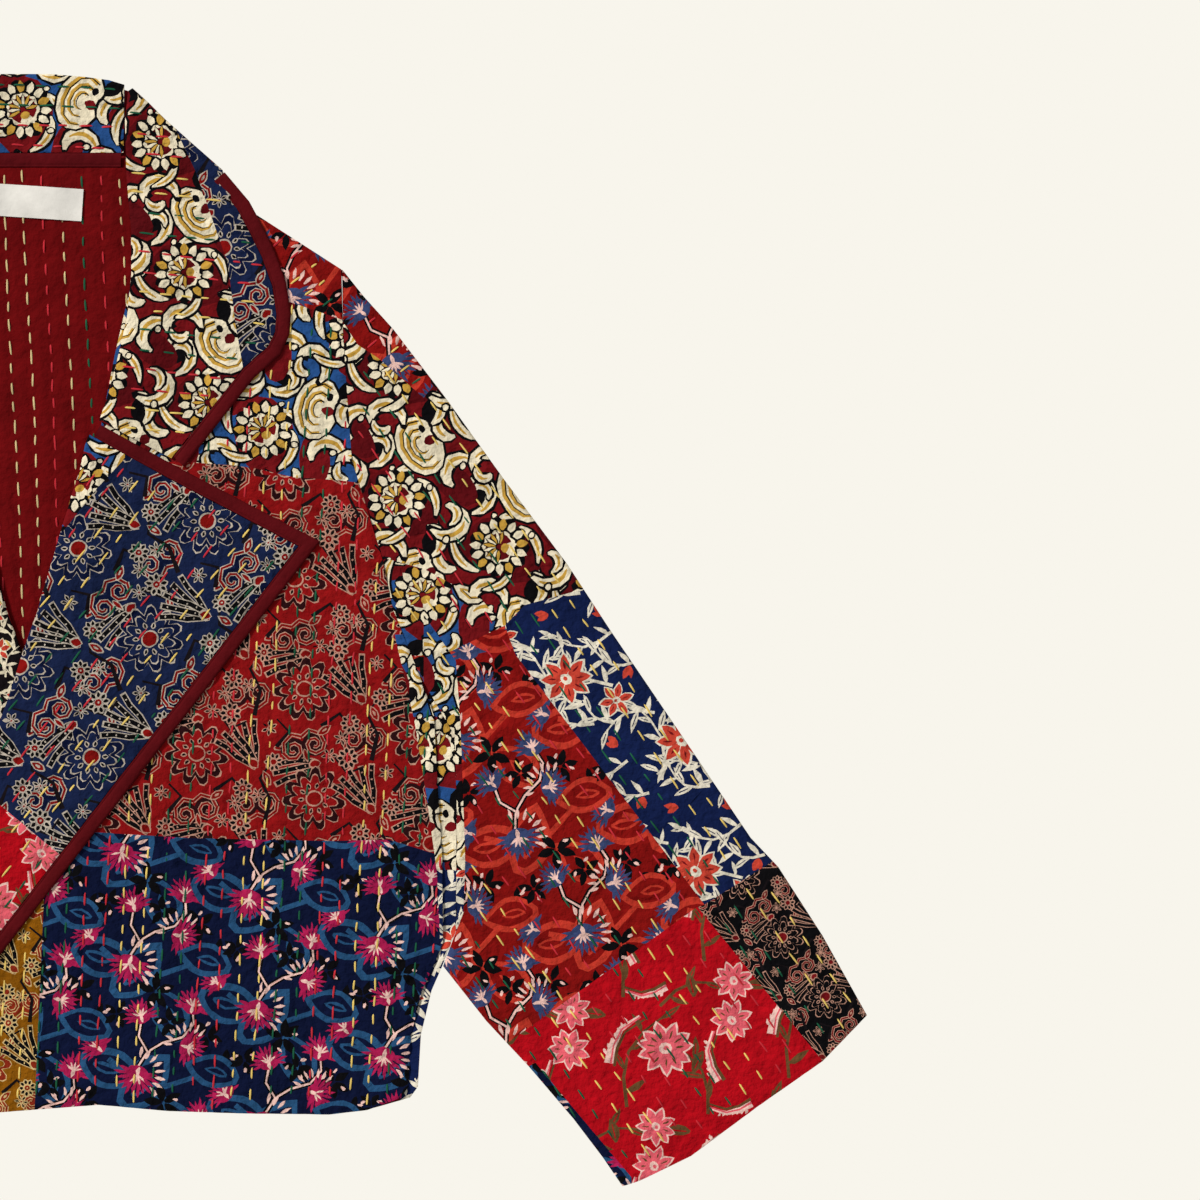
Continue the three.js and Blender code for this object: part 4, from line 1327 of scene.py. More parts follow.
class Seamstress:
    """Makes panels, bindings and stitches into objects of the garment."""

    def __init__(self, finishes: Finishes) -> None:
        """Keeps the finishes and the cutter."""
        self.finishes = finishes
        self.cutter = Cutter()

    def panel(self, panel: Panel, nodes: list[str], flip: bool, rests_on: list[str], slot: str = "patchwork",
              below: Panel | None = None) -> bpy.types.Object:
        """A closed panel: the printed side, the other side and the edge between them.

        Args:
            panel: The panel.
            nodes: The solids it is shown in place of.
            flip: Whether it is on the mirrored half.
            rests_on: Names of what it lies on. Not used.
            slot: Which finish it gets: the lining finish for "lining", the printed one otherwise.
            below: A print for the underside, or none.

        Returns:
            The object.
        """
        flat = self.cutter.cut(panel)
        shell = Shell()
        x, y = flat.places.T
        upper = panel.surface(x, y)
        numbers = shell.add_sheet(flat, upper)
        border = flat.border()
        ring = [tuple(flat.places[k]) for k in border]
        other, at = self.cutter.backing(panel, ring, 16.0, below)
        ox, oy = other.places.T
        lower = shell.add_sheet(other, panel.under(ox, oy))
        shell.add_wall(
            [numbers[k] for k in border], [lower[k] for k in at], panel.patches[0].fabric.dyes.ground
        )
        finish = self.finishes.lining if slot == "lining" else self.finishes.printed
        made = shell.finish(panel.name, flip, finish)
        self.declare(nodes)
        LOG.info("%s: %d faces", panel.name, len(shell.faces))
        return made

    def declare(self, nodes: list[str]) -> None:
        """Hides the solids that a cloth piece is shown in place of."""
        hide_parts(*nodes)

    def tube(self, panel: Panel, below: Panel, nodes: list[str], flip: bool) -> bpy.types.Object:
        """A sleeve that is pressed flat: two printed walls with their linings, open at both ends."""
        flat = self.cutter.cut(panel)
        shell = Shell()
        x, y = flat.places.T
        border = flat.border()
        ring = [tuple(flat.places[k]) for k in border]
        rx, ry = np.array(ring).T
        folded = np.minimum(*(distance_to(fold, rx, ry) for fold in panel.folds)) < 0.05
        middle = CLOTH.wall + CLOTH.hollow / 2
        upper = panel.surface(x, y)
        for k, number in enumerate(border):
            if folded[k]:
                upper[number] = middle
        top = shell.add_sheet(flat, upper)
        low_flat, at = self.cutter.backing(panel, ring, 14.0, below)
        lx, ly = low_flat.places.T
        away = np.minimum(*(distance_to(fold, lx, ly) for fold in panel.folds))
        low_z = middle * (1 - np.sqrt(np.clip(1 - (1 - np.clip(away / 2.0, 0, 1)) ** 2, 0, 1)))
        shared = {at[k]: top[border[k]] for k in range(len(border)) if folded[k]}
        low = shell.add_sheet(low_flat, low_z, shared)
        reach = [distance_to(fold, rx, ry) for fold in panel.folds]
        pulled = []
        for k, (px, py) in enumerate(ring):
            side = 1 if reach[1][k] < reach[0][k] else -1
            pull = side * 1.7 * max(0.0, 1 - min(reach[0][k], reach[1][k]) / 3.4)
            pulled.append((px + 0.817 * pull, py + 0.577 * pull))
        inner_top, in_at = self.cutter.backing(panel, pulled, 22.0)
        heights = np.full(len(inner_top.places), CLOTH.wall + CLOTH.hollow)
        for k, number in enumerate(in_at):
            if folded[k]:
                heights[number] = middle
        upper_in = shell.add_sheet(inner_top, heights)
        heights = np.full(len(inner_top.places), CLOTH.wall)
        lower_in = shell.add_sheet(
            inner_top, heights, {in_at[k]: upper_in[in_at[k]] for k in range(len(ring)) if folded[k]}
        )
        count = len(ring)
        for k in range(count):
            n = (k + 1) % count
            if folded[k] and folded[n]:
                continue
            pair = [k, n]
            shell.add_wall(
                [top[border[j]] for j in pair], [upper_in[in_at[j]] for j in pair], Ink.LINING, False
            )
            shell.add_wall(
                [low[at[j]] for j in pair], [lower_in[in_at[j]] for j in pair], Ink.LINING, False
            )
        made = shell.finish(panel.name, flip, self.finishes.printed)
        self.declare(nodes)
        LOG.info("%s: %d faces", panel.name, len(shell.faces))
        return made

    def stitches(self, panel: Panel, flip: bool, skip: list[Line] | None = None) -> bpy.types.Object:
        """The running stitches that show on a panel.

        Args:
            panel: The panel that they are sewn through.
            flip: Whether it is on the mirrored half.
            skip: Areas where other pieces cover the panel.

        Returns:
            The stitches as one object.
        """
        rng = random.Random(panel.seed * 7 + 3)
        shell = Shell()
        chosen: list[tuple[np.ndarray, np.ndarray, Ink]] = []
        corners = np.array(panel.outline)
        for number, patch in enumerate(panel.patches):
            rows = patch.rows or panel.rows
            (ax, ay), (bx, by) = rows.across, rows.along
            q, s = corners @ np.array([ax, ay]), corners @ np.array([bx, by])
            runs: list[np.ndarray] = []
            inks: list[Ink] = []
            for row in range(math.floor(q.min() / CLOTH.row), math.ceil(q.max() / CLOTH.row) + 1):
                place = s.min() + rng.uniform(0, rows.stitch)
                wander = rng.uniform(0, 6)
                while place < s.max():
                    length = rows.stitch * rng.uniform(0.78, 1.2)
                    across = row * CLOTH.row + 0.7 * math.sin(
                        place / 37 + wander
                    ) + rng.uniform(-0.25, 0.25)
                    qs = across + rng.uniform(-0.3, 0.3) * np.linspace(-1, 1, 5)
                    steps = np.linspace(place, place + length, 5)
                    runs.append(np.array([qs * ax + steps * bx, qs * ay + steps * by]))
                    inks.append(rows.inks[row % len(rows.inks)])
                    place += length + rows.gap * rng.uniform(0.75, 1.3)
            x, y = np.array(runs).transpose(1, 0, 2)
            keep = self.shown(panel, number, x, y, skip or [])
            for k in np.flatnonzero(keep):
                chosen.append((x[k], y[k], inks[k]))
        if chosen:
            heights = panel.surface(
                np.array([x for x, _, _ in chosen]), np.array([y for _, y, _ in chosen])
            )
            for (x, y, ink), z in zip(chosen, heights):
                self.stitch(shell, x, y, z, ink)
        name = panel.name.replace("cloth", "stitches")
        made = shell.finish(name, flip, self.finishes.thread)
        LOG.info("%s: %d faces", name, len(shell.faces))
        return made

    def shown(
        self, panel: Panel, number: int, x: np.ndarray, y: np.ndarray, skip: list[Line]
    ) -> np.ndarray:
        """Which stitches lie wholly on their own patch and under no other piece."""
        clear = inside(panel.outline, x, y) & inside(panel.patches[number].outline, x, y)
        for later in panel.patches[number + 1 :]:
            clear &= ~inside(later.outline, x, y)
        for cover in skip:
            clear &= ~inside(cover, x, y)
        clear &= distance_to(panel.outline + panel.outline[:1], x, y) > 1.2
        return clear.all(axis=1)

    @staticmethod
    def stitch(shell: Shell, x: np.ndarray, y: np.ndarray, z: np.ndarray, ink: Ink) -> None:
        """Adds one stitch, a short thread that dips into the cloth at both ends."""
        lift = np.array([-0.25, 0.3, 0.45, 0.3, -0.25])
        radius = np.array([0.42, 0.62, 0.66, 0.62, 0.42])
        dx, dy = x[-1] - x[0], y[-1] - y[0]
        length = math.hypot(dx, dy)
        nx, ny = -dy / length, dx / length
        rings = []
        for k in range(5):
            ring = []
            for side in range(5):
                turn = math.tau * side / 5
                out, up = radius[k] * math.cos(turn), 0.62 * radius[k] * math.sin(turn)
                ring.append(len(shell.places))
                shell.places.append((x[k] + nx * out, y[k] + ny * out, z[k] + lift[k] + up))
            rings.append(ring)
        for a, b in zip(rings, rings[1:]):
            shell.add_wall(a, b, ink)
        for ring in (rings[0], rings[-1]):
            for k in range(1, 4):
                shell.add_face((ring[0], ring[k], ring[k + 1]), ink)

    def binding(self, name: str, line: Line, node: str, under: Height, thick: float, flip: bool,
                rests_on: list[str]) -> bpy.types.Object:
        """A folded strip that is sewn over an edge.

        Args:
            name: The object's name.
            line: The outer edge.
            node: The solid it is shown in place of.
            under: Height of its underside.
            thick: Its thickness.
            flip: Whether it is on the mirrored half.
            rests_on: Names of what it lies on. Not used.

        Returns:
            The object.
        """
        section = [
            (1.0, 0.0), (0.5, 0.0), (0.03, 0.02), (-0.02, 0.3), (0.0, 0.62), (0.07, 0.88), (0.2, 1.0),
            (0.45, 1.06), (0.68, 1.0), (0.8, 0.86), (0.84, 0.74), (0.9, 0.84), (0.97, 0.8), (1.02, 0.45),
        ]
        stops = along_line(line, 4.0)
        first = inset(line, -CLOTH.band) if self.turns_right(line) else inset(line, CLOTH.band)
        shell = Shell()
        rings = []
        lengths = [0.0]
        for a, b in zip(line, line[1:]):
            lengths.append(lengths[-1] + math.hypot(b[0] - a[0], b[1] - a[1]))
        inner = []
        run = 0.0
        for k, stop in enumerate(stops):
            if k:
                run += math.hypot(stop[0] - stops[k - 1][0], stop[1] - stops[k - 1][1])
            inner.append((float(np.interp(run, lengths, [p[0] for p in first])),
                          float(np.interp(run, lengths, [p[1] for p in first]))))
        for k, (stop, end) in enumerate(zip(stops, inner)):
            sway = 0.25 * math.sin(k * 1.7) + 0.2 * math.sin(k * 0.61)
            ring = []
            for share, height in section:
                x = stop[0] + (end[0] - stop[0]) * share + (sway * 0.4 if share > 0.8 else 0)
                y = stop[1] + (end[1] - stop[1]) * share
                base = float(under(np.array(x), np.array(y)))
                swell = 1 + 0.08 * math.sin(k * 2.3 + share * 3)
                ring.append(len(shell.places))
                shell.places.append((x, y, base + height * thick * swell))
            rings.append(ring)
        for a, b in zip(rings, rings[1:]):
            shell.add_wall(a, b, Ink.DARK_MAROON)
        for ring in (rings[0], rings[-1]):
            for k in range(1, len(ring) - 1):
                shell.add_face((ring[0], ring[k], ring[k + 1]), Ink.DARK_MAROON)
        made = shell.finish(name, flip, self.finishes.binding)
        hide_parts(node)
        LOG.info("%s: %d faces", name, len(shell.faces))
        return made

    @staticmethod
    def turns_right(line: Line) -> bool:
        """Whether the garment is to the right of the line."""
        return line[0][0] < line[-1][0] or line[0][1] > line[-1][1]


class Half:
    """One half of the garment: front, lapel, leaf of the collar, bindings and sleeve."""

    FRONT_ROWS = Rows(3.0)
    SLEEVE_ROWS = Rows(145.2, 9.4, 7.4)

    def __init__(self, is_left: bool, sewing: Seamstress) -> None:
        """Keeps which half it is."""
        self.is_left = is_left
        self.sewing = sewing
        self.side = "left" if is_left else "right"
        self.flip = not is_left
        self.least = 0.8 if is_left else 9.0
        self.grid = (3.2, 4.4) if is_left else (6.35, 8.0)
        self.lapel_outline = self.shape_of_lapel()
        self.leaf_outline = self.shape_of_leaf()

    def cloth(self, fabric: Fabric) -> Fabric:
        """The cloth of a patch, which differs on the two halves."""
        return fabric if self.is_left else SWAPS.get(fabric.name, fabric)

    def patch(self, fabric: Fabric, outline: Line, turn: float = 0.0, rows: Rows | None = None) -> Patch:
        """A patch in this half's own cloth."""
        return Patch(self.cloth(fabric), outline, turn, rows)

    def shape_of_lapel(self) -> Line:
        """Outline of the lapel inside its binding."""
        inner = inset(LAPEL_EDGE, -(CLOTH.band + 0.3))
        end = meeting(ROLL[0], ROLL[1], inner[-2], inner[-1])
        roll = [p for p in ROLL[1:] if p[1] < 110]
        return [end] + roll + [(41, 122), (inner[0][0] - 3, inner[0][1] + 2)] + inner[1:-1]

    def shape_of_leaf(self) -> Line:
        """Outline of the collar's leaf inside its binding."""
        inner = inset(COLLAR_EDGE, CLOTH.band + 0.3)
        folded = COLLAR_ROLL[1:] + COLLAR_RIDGE[::-1][:-1]
        return [(50, 137)] + folded + [(130.6, 300.8)] + inner[::-1][1:-1] + [(97, 112.4)]

    def covers(self) -> list[Line]:
        """Areas of the front that the lapel and the collar hide."""
        hidden = [inset(self.lapel_outline + self.lapel_outline[:1], 0)[:-1], self.leaf_outline]
        if not self.is_left:
            hidden.append([(-200, -340), (93, -340), (12, -63), (5, -45), (-3, -19), (-15, 16), (-200, 16)])
        return hidden

    def build(self) -> None:
        """Builds the pieces from the lowest to the highest."""
        self.sleeve()
        self.front()
        self.lapel()
        self.leaf()

    def front(self) -> None:
        """The front panel with its patches."""
        under = LEVELS.front(self.is_left)
        edge = [(x + 3.2, y) for x, y in ROLL]
        hem = HEM[1:]
        if not self.is_left:
            edge[0], hem[0] = (-90.5, -308), (-16, -309)
        outline = hem + SIDE_SEAM[::-1] + ARMHOLE[:-1][::-1] + SHOULDER[:1] + FRONT_NECK[::-1] + edge[::-1]
        slanted = Rows(53.0)
        patches = [
            self.patch(Stock.navy_thistles, [(-120, -340), (300, -340), (300, -100), (-120, -100)], 4),
            self.patch(
                Stock.gold_tulips,
                [(-130, -340), (8, -340), (8, -314), (14, -180), (16, -120), (-130, -120)], 12,
            ),
            self.patch(
                Stock.red_tulips,
                [
                    (-60, -128), (49, -132), (111, -136), (202, -138), (239, -137), (275, -148),
                    (300, -148), (300, 130), (-60, 130),
                ],
                5,
            ),
            self.patch(
                Stock.blue_leaves,
                [
                    (-10, 112), (105, 110), (135, 108), (151, 106), (177, 100), (207, 98), (223, 96),
                    (300, 92), (300, 340), (-10, 340),
                ],
                20,
            ),
            self.patch(
                Stock.red_thistles,
                [
                    (150, 235), (173.6, 214.8), (193.2, 208.3), (208.3, 203.1), (218.8, 186.7), (240, 170),
                    (300, 200), (200, 340), (100, 340),
                ],
                40, slanted,
            ),
            self.patch(
                Stock.blue_leaves,
                [(243, -3), (256, -60), (264, -110), (270.5, -157), (300, -157), (300, 0)], 50,
            ),
            self.patch(Stock.navy_vines, [(270.5, -157), (274, -230), (300, -230), (300, -157)], 20),
        ]
        creases = [
            Crease([(232, 60), (214, -10), (190, -90)], 15, 1.0),
            Crease([(262, -70), (228, -120), (176, -150)], 13, -0.8),
            Crease([(250, -160), (200, -200), (150, -215)], 18, 0.9),
            Crease([(90, -160), (96, -240), (88, -312)], 14, 0.9),
            Crease([(180, -170), (186, -250), (176, -314)], 16, -0.7),
            Crease([(120, 160), (150, 190), (196, 214)], 12, 0.8),
        ]
        panel = Panel(
            f"front_{self.side}_cloth", outline, patches, self.FRONT_ROWS,
            lambda x, y: under(x, y) + CLOTH.wall, under, creases=creases, covered=self.covers(),
            seed=11 if self.is_left else 12, least=self.least, grid=self.grid,
        )
        self.sewing.panel(panel, [f"front_{self.side}"], self.flip, ["back_cloth"])
        self.sewing.stitches(panel, self.flip, self.covers())

    def lapel(self) -> None:
        """The folded lapel and the strip that binds its outer edge."""
        under = LEVELS.lapel(self.is_left)
        patches = [
            self.patch(Stock.navy_tulips, [(-160, -340), (220, -340), (220, 160), (-160, 160)], 38),
            self.patch(
                Stock.blue_leaves,
                [(28, 134), (67.4, 122), (66.8, 112), (48.7, 92.4), (27.3, 64.8), (5, 60)], 10,
            ),
            self.patch(
                Stock.red_flowers,
                [(-15.7, -112.7), (23.6, -145.4), (60, -172), (-97, -345), (-140, -330), (-80, -60)], 60,
            ),
        ]
        covered = [] if self.is_left else [
            [(-200, -340), (93, -340), (12, -63), (5, -45), (-3, -19), (-15, 16), (-200, 16)]
        ]
        panel = Panel(
            f"lapel_{self.side}_cloth", self.lapel_outline, patches, Rows(37.8, 9.2, 8.6),
            lambda x, y: under(x, y) + CLOTH.wall, under, folds=[ROLL[:-1] + [(41, 122)]], covered=covered,
            creases=[
                Crease([(40, 70), (90, 40), (130, 20)], 12, 0.7),
                Crease([(10, 0), (50, -30), (70, -50)], 14, -0.6),
                Crease([(-10, -70), (10, -100), (12, -130)], 12, 0.6),
            ],
            seed=21 if self.is_left else 22, least=self.least, grid=self.grid, grain=37.8,
        )
        self.sewing.panel(panel, [f"lapel_{self.side}"], self.flip, [f"front_{self.side}_cloth"])
        self.sewing.stitches(panel, self.flip, covered)
        self.sewing.binding(
            f"lapel_{self.side}_binding", LAPEL_EDGE, f"lapel_binding_{self.side}", under,
            CLOTH.band_thick, self.flip, [f"front_{self.side}_cloth"],
        )

    def leaf(self) -> None:
        """The leaf of the collar and the strip that binds it."""
        under = LEVELS.lapel(self.is_left)
        patches = [
            self.patch(Stock.maroon_leaves, [(0, 80), (220, 80), (220, 380), (0, 380)], 75),
            self.patch(
                Stock.navy_tulips,
                [(97, 334), (113, 300), (134, 240), (139, 200), (146, 160), (220, 160), (220, 340)], 30,
            ),
        ]
        panel = Panel(
            f"leaf_{self.side}_cloth", self.leaf_outline, patches, Rows(96.0, 8.4, 6.0),
            lambda x, y: under(x, y) + CLOTH.wall, under,
            folds=[COLLAR_RIDGE, [(50, 137)] + COLLAR_ROLL[1:]],
            creases=[
                Crease([(76, 150), (82, 230), (78, 320)], 10, 0.7),
                Crease([(100, 170), (120, 240), (110, 290)], 12, -0.6),
            ],
            seed=31 if self.is_left else 32, least=self.least, grid=self.grid,
        )
        self.sewing.panel(panel, [f"collar_leaf_{self.side}"], self.flip, [f"front_{self.side}_cloth"])
        self.sewing.stitches(panel, self.flip)
        self.sewing.binding(
            f"leaf_{self.side}_binding", COLLAR_EDGE[::-1] + [(105, 107)],
            f"collar_binding_{self.side}", under, CLOTH.band_thick, self.flip, [f"front_{self.side}_cloth"],
        )

    def sleeve(self) -> None:
        """The sleeve, pressed flat, with its patches on both sides."""
        underarm = [(274.6, -220), (283.1, -197), (283.5, -111), (282.1, -69)]
        start = underarm + [(x + 0.1, y) for x, y in ARMHOLE[:-1][::-1]]
        outline = start[:-1] + SLEEVE_TOP + CUFF[1:] + SLEEVE_LOW[1:-1]
        patches = [
            self.patch(Stock.maroon_leaves, [(190, -400), (620, -400), (620, 260), (190, 260)], 65),
            self.patch(
                Stock.blue_leaves, [(190, 60), (262, 40), (300, 20), (315, 2), (274, -18), (190, -18)], 20
            ),
            self.patch(
                Stock.red_thistles,
                [(190, -18), (274.4, -16.4), (315, 3), (322, -16), (523, -282), (560, -420), (190, -420)],
                34,
            ),
            self.patch(
                Stock.navy_vines,
                [
                    (322, -16), (315, 3), (328, 16.4), (367, 27), (420, 60), (640, -100), (640, -340),
                    (523, -282),
                ],
                124,
            ),
            self.patch(
                Stock.red_flowers,
                [(300, -282), (328, -262), (441, -181), (523, -282), (560, -340), (400, -420), (300, -400)],
                36,
            ),
            self.patch(
                Stock.black_scrolls,
                [(441, -181), (445, -180), (489, -152), (540, -120), (640, -260), (523, -282)], 36,
            ),
            self.patch(
                Stock.navy_thistles, [(322, -290), (335, -283), (398, -358), (398, -380), (322, -380)], 30
            ),
            self.patch(
                Stock.red_thistles,
                [
                    (190, 205), (208.3, 203.1), (218.8, 186.7), (231.9, 178.2), (262, 152), (300, 200),
                    (200, 260),
                ],
                40, Rows(53.0),
            ),
            self.patch(
                Stock.blue_leaves,
                [(262, 10), (283, -20), (286, -60), (289, -144), (289, -157), (262, -157)], 50,
            ),
            self.patch(
                Stock.navy_vines,
                [(262, -157), (289, -157), (288, -185), (280, -205), (274, -222), (262, -222)], 20,
            ),
        ]
        creases = [
            Crease([(292, -60), (330, -110), (372, -160)], 15, 1.3),
            Crease([(300, -150), (350, -190), (410, -220)], 14, -0.9),
            Crease([(330, 20), (370, -40), (420, -110)], 18, 0.9),
            Crease([(250, 120), (280, 60), (300, 10)], 16, 1.0),
            Crease([(400, -120), (440, -190), (470, -250)], 16, -0.8),
            Crease([(380, -260), (430, -300), (470, -300)], 16, 0.8),
        ]
        level = 2 * CLOTH.wall + CLOTH.hollow
        panel = Panel(
            f"sleeve_{self.side}_cloth", outline, patches, self.SLEEVE_ROWS,
            lambda x, y: np.full(np.shape(x), level), lambda x, y: np.zeros(np.shape(x)),
            folds=[SLEEVE_TOP, SLEEVE_LOW], fold_radius=3.0, fold_drop=level - 1.75, creases=creases,
            seed=41 if self.is_left else 42, least=self.least, grid=self.grid,
        )
        under_patches = [
            Patch(SWAPS.get(p.fabric.name, p.fabric), p.outline, p.turn + 90)
            for p in patches[:1] + patches[2:6]
        ]
        below = replace(panel, patches=under_patches, seed=45, least=36.0)
        self.sewing.tube(panel, below, [f"sleeve_{self.side}"], self.flip)
        self.sewing.stitches(panel, self.flip)


class Neck:
    """The back, its lining, the collar behind the neck and the blank label."""

    def __init__(self, sewing: Seamstress) -> None:
        """Keeps who sews it."""
        self.sewing = sewing

    def build(self) -> None:
        """Builds the pieces from the lowest to the highest."""
        self.fall()
        self.back()
        self.lining()
        self.stand()
        self.label()

    def fall(self) -> None:
        """The half of the collar that is folded away under the neck."""
        ridge = [(x - 1.6, y - 1.6) for x, y in COLLAR_RIDGE][::-1]
        half = [(0, 361.2), (41, 359.4), (62, 355)] + ridge + [(128, 283)]
        outline = mirrored(half)[:-1] + half
        panel = Panel(
            "fall_cloth", outline,
            [Patch(Stock.maroon_leaves, [(-150, 270), (150, 270), (150, 380), (-150, 380)])],
            Rows(90.0), lambda x, y: np.full(np.shape(x), 0.9), lambda x, y: np.zeros(np.shape(x)),
            covered=[[(-200, 200), (200, 200), (200, 400), (-200, 400)]], grid=(12.7, 14.0),
            inner=Ink.MAROON, seed=51,
        )
        below = replace(panel, covered=[], seed=52, least=16.0)
        self.sewing.panel(panel, ["collar_fall"], False, ["floor"], below=below)

    def back(self) -> None:
        """The back panel, whose sides show beside the fronts."""
        half_top = [(0, 308), (66, 308), (82, 304)] + SHOULDER + ARMHOLE[1:]
        half_low = [(0, -311)] + HEM[2:-1] + SIDE[::-1]
        right = half_low + half_top[::-1]
        outline = right + [(-x, y) for x, y in right[::-1] if x > 0]
        strips = []
        for side in (1, -1):
            strips.append(
                Patch(
                    Stock.blue_leaves,
                    [(side * x, y) for x, y in ((262, 0), (300, 0), (300, -157), (262, -157))], 50,
                )
            )
            strips.append(
                Patch(
                    Stock.navy_vines,
                    [(side * x, y) for x, y in ((250, -157), (300, -157), (300, -320), (246, -320))], 20,
                )
            )
        everywhere = [(-320, -340), (320, -340), (320, 330), (-320, 330)]

        def top(x: np.ndarray, y: np.ndarray) -> np.ndarray:
            side = [
                (281.2, -76), (283, -111), (282.8, -196.6), (273.6, -220), (266.6, -236), (259.6, -265),
                (257.4, -298),
            ]
            lip = 1 - smooth(2.2, 4.0, distance_to(side, np.abs(x), y))
            return LEVELS.back(x, y) + CLOTH.wall + 1.7 * lip

        panel = Panel(
            "back_cloth", outline, [Patch(Stock.plain, everywhere)] + strips, Rows(0.0, 30.0),
            top, LEVELS.back, grid=(11.0, 14.0), seed=61, edge_round=0.6, least=4.0,
            covered=[[(-255, -300), (255, -300), (262, -170), (255, 0), (-255, 0), (-262, -170)]],
        )
        tall = [(-320, 90), (-90, 90), (-90, 330), (-320, 330)]
        patches = [
            Patch(Stock.red_tulips, everywhere, 3),
            Patch(Stock.navy_thistles, tall),
            Patch(Stock.blue_leaves, [(-90, 90), (90, 90), (90, 330), (-90, 330)], 30),
            Patch(Stock.red_flowers, [(90, 90), (320, 90), (320, 330), (90, 330)], 10),
            Patch(Stock.gold_tulips, [(-320, -120), (-110, -120), (-110, 90), (-320, 90)], 8),
            Patch(Stock.navy_vines, [(70, -120), (320, -120), (320, 90), (70, 90)], 0),
            Patch(Stock.maroon_leaves, [(-320, -340), (-60, -340), (-60, -120), (-320, -120)], 15),
            Patch(Stock.navy_tulips, [(-60, -340), (130, -340), (130, -120), (-60, -120)], 5),
            Patch(Stock.red_thistles, [(130, -340), (320, -340), (320, -120), (130, -120)], 20),
        ]
        below = replace(panel, patches=patches, covered=[], seed=62, least=60.0)
        self.sewing.panel(panel, ["back_panel"], False, ["floor"], below=below)

    def lining(self) -> None:
        """The back's plain lining that shows in the neck."""
        rolls = [p for p in ROLL if p[1] > -20] + [p for p in COLLAR_ROLL if 150 < p[1] < 280]
        side = [(x + 12, y) for x, y in rolls]
        right = [(0, -42)] + side + [(80.5, 288), (66, 302.4)]
        outline = right + mirrored(right)[:-1]
        rows = Rows(
            -2.5, 8.0, 5.4,
            (
                Ink.THREAD_CREAM, Ink.THREAD_CREAM, Ink.THREAD_RED,
                Ink.THREAD_CREAM, Ink.THREAD_GREEN, Ink.THREAD_RED,
            ),
        )
        heights = (
            (262, 0.5), (246, -0.4), (232, 0.5), (214, -0.4), (199, 0.45), (181, -0.4),
            (160, 0.5), (139, -0.4), (112, 0.5), (84, -0.4), (50, 0.4),
        )
        puckers = [Crease([(-70, y), (0, y - 3), (70, y + 2)], 5, depth) for y, depth in heights]
        panel = Panel(
            "lining_cloth", outline,
            [Patch(Stock.plain, [(-120, -80), (120, -80), (120, 330), (-120, 330)])], rows,
            LEVELS.lining, lambda x, y: LEVELS.lining(x, y) - CLOTH.lining, creases=puckers, seed=71,
        )
        self.sewing.panel(panel, ["neck_lining"], False, ["back_cloth"], slot="lining")
        self.sewing.stitches(panel, False)
        self.sewing.binding(
            "neck_band", [(-64, 311.8), (64, 311.8)], "neck_binding",
            lambda x, y: np.full(np.shape(x), CLOTH.collar_lift + CLOTH.wall + 0.5), CLOTH.band_thick * 0.8,
            False, ["lining_cloth"],
        )

    def stand(self) -> None:
        """The part of the collar that stands behind the neck and folds down."""
        right = [(0, 312.4), (65.6, 312.4), (66, 357)] + COLLAR_TOP[::-1][1:]
        outline = right + mirrored(right[1:-1])

        def level(x: np.ndarray, y: np.ndarray) -> np.ndarray:
            """Height of the folded stand's lower side."""
            return np.full(np.shape(x), CLOTH.collar_lift)

        panel = Panel(
            "stand_cloth", outline,
            [Patch(Stock.blue_leaves, [(-80, 300), (80, 300), (80, 380), (-80, 380)], 8)],
            Rows(92.0, 8.0, 6.0), lambda x, y: level(x, y) + CLOTH.wall, level,
            folds=[mirrored(COLLAR_TOP) + COLLAR_TOP[1:]], fold_radius=3.0, seed=81,
        )
        self.sewing.panel(panel, ["collar_stand"], False, ["fall_cloth"])
        self.sewing.stitches(panel, False)

    def label(self) -> None:
        """The blank woven label, sewn down at its ends."""
        wide, high, thick = 69.0, 21.0, 0.8
        c, s = math.cos(math.radians(-3.8)), math.sin(math.radians(-3.8))
        shell = Shell()
        base = float(LEVELS.lining(np.array(4.6), np.array(280.0))) + CLOTH.puff + 0.3
        sheets: list[list[list[int]]] = []
        for level in (0.0, thick):
            sheet = []
            for i in range(24):
                column = []
                for j in range(9):
                    u, v = (i / 23 - 0.5) * wide, (j / 8 - 0.5) * high
                    wave = 0.35 * math.sin(u / 11 + 0.6) + 0.15 * math.sin(v / 5 + u / 17)
                    fade = min(1.0, (0.5 * wide - abs(u)) / 8)
                    column.append(len(shell.places))
                    height = base + level + wave * fade
                    shell.places.append((4.6 + u * c - v * s, 280 + u * s + v * c, height))
                sheet.append(column)
            sheets.append(sheet)
            for a, b in zip(sheet, sheet[1:]):
                shell.add_wall(a, b, Ink.CREAM, False)
        for pick in (
            lambda s: s[0], lambda s: s[-1], lambda s: [c[0] for c in s], lambda s: [c[-1] for c in s]
        ):
            shell.add_wall(pick(sheets[0]), pick(sheets[1]), Ink.CREAM, False)
        made = shell.finish("label_tape", False, self.sewing.finishes.label)
        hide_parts("label_blank")


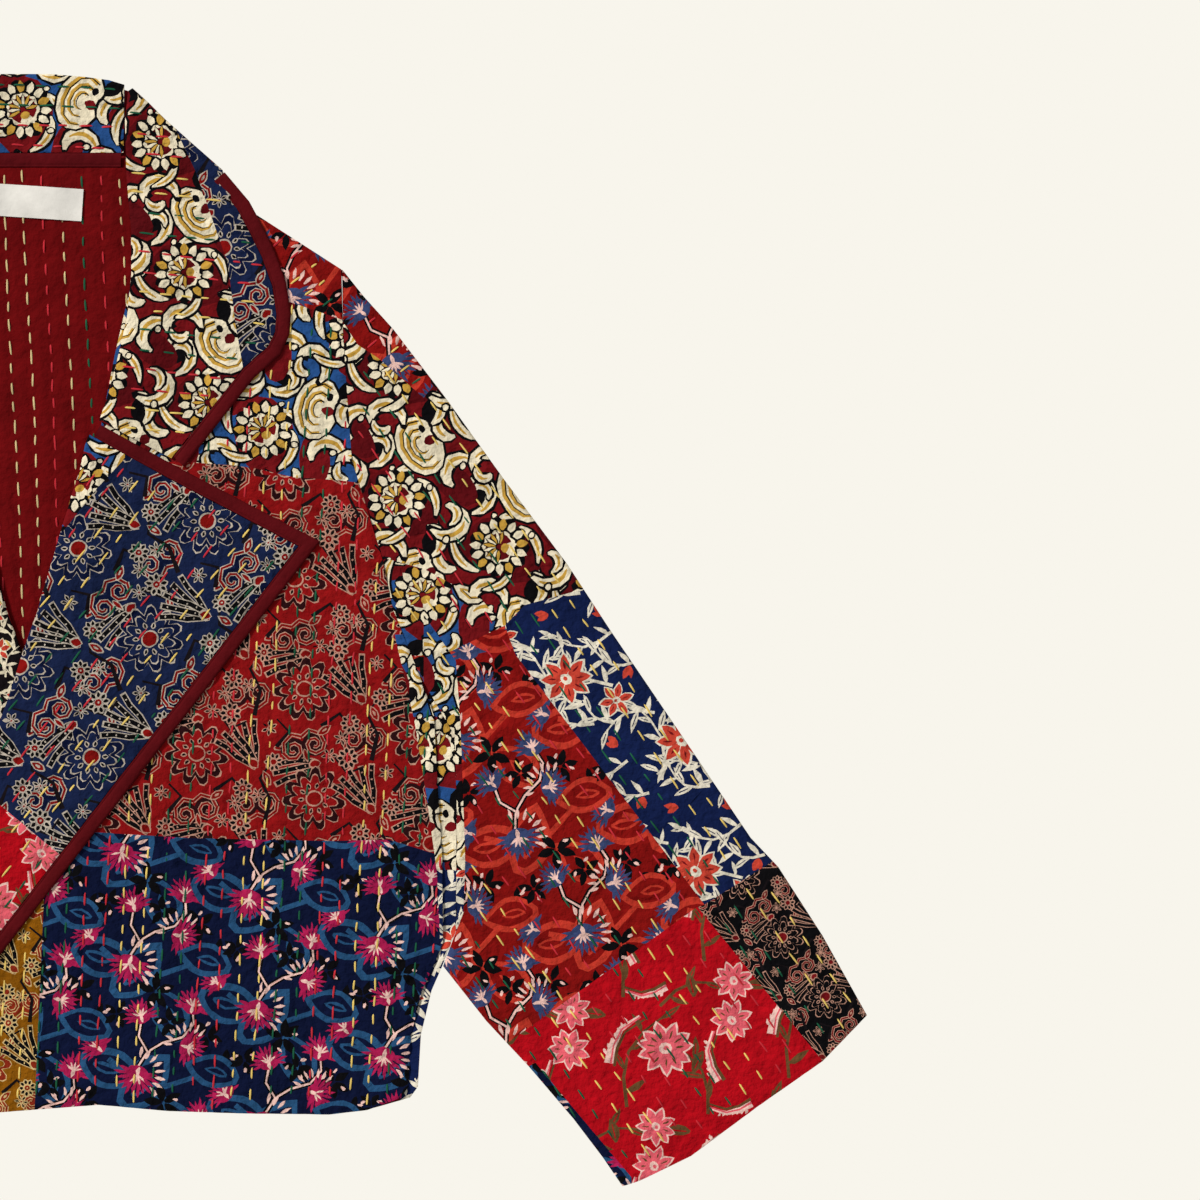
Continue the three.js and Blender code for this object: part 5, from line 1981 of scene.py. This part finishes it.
@dataclass(frozen=True)
class Studio:
    """A pale surface in soft light, seen from straight above."""

    aim: Point = (377.3, 19.7)
    view_width: float = 786.0
    distance: float = 3000.0
    paper: str = "F8F5EC"

    def build(self) -> None:
        """Makes the floor, the lights and the camera."""
        self.floor()
        self.lights()
        self.camera()

    def floor(self) -> None:
        """The evenly lit surface under the garment."""
        bpy.ops.mesh.primitive_plane_add(size=8.0, location=(0, 0, -0.0004))
        floor = bpy.context.object
        floor.name = "floor"
        made = bpy.data.materials.new("pale_paper")
        made.use_nodes = True
        nodes, links = made.node_tree.nodes, made.node_tree.links
        nodes.remove(nodes["Principled BSDF"])
        glow = nodes.new("ShaderNodeEmission")
        parts = [int(self.paper[k : k + 2], 16) / 255 for k in (0, 2, 4)]
        glow.inputs["Color"].default_value = (*[((c + 0.055) / 1.055) ** 2.4 for c in parts], 1.0)
        links.new(glow.outputs["Emission"], nodes["Material Output"].inputs["Surface"])
        floor.data.materials.append(made)

    def lights(self) -> None:
        """A soft sky and one broad light from the upper left."""
        scene = bpy.context.scene
        world = bpy.data.worlds.new("soft_sky")
        world.use_nodes = True
        world.node_tree.nodes["Background"].inputs["Color"].default_value = (0.98, 0.99, 1.0, 1.0)
        world.node_tree.nodes["Background"].inputs["Strength"].default_value = 0.36
        scene.world = world
        sun = bpy.data.lights.new("window", "SUN")
        sun.energy = 2.9
        sun.angle = math.radians(11)
        sun.color = (1.0, 0.98, 0.95)
        lamp = bpy.data.objects.new("window", sun)
        lamp.rotation_euler = Vector((0.8, -0.62, -0.75)).to_track_quat("-Z", "Y").to_euler()
        scene.collection.objects.link(lamp)

    def camera(self) -> None:
        """The camera, level over the half that it looks at."""
        scene = bpy.context.scene
        lens = bpy.data.cameras.new("camera")
        lens.sensor_width = 36.0
        lens.lens = 36.0 * self.distance / self.view_width
        lens.clip_end = 20.0
        made = bpy.data.objects.new("camera", lens)
        made.location = (self.aim[0] * MM, self.aim[1] * MM, self.distance * MM)
        scene.collection.objects.link(made)
        scene.camera = made
        scene.view_settings.view_transform = "Standard"


def main() -> None:
    """Builds the scene in order."""
    logging.basicConfig(level=logging.INFO, format="%(message)s")
    for name in ("Cube", "Light", "Camera"):
        if name in bpy.data.objects:
            bpy.data.objects.remove(bpy.data.objects[name])
    sewing = Seamstress(Finishes())
    Studio().build()
    Neck(sewing).build()
    for is_left in (False, True):
        Half(is_left, sewing).build()
    bpy.context.view_layer.update()
    LOG.info("sizes written")


if __name__ == "__main__":
    main()
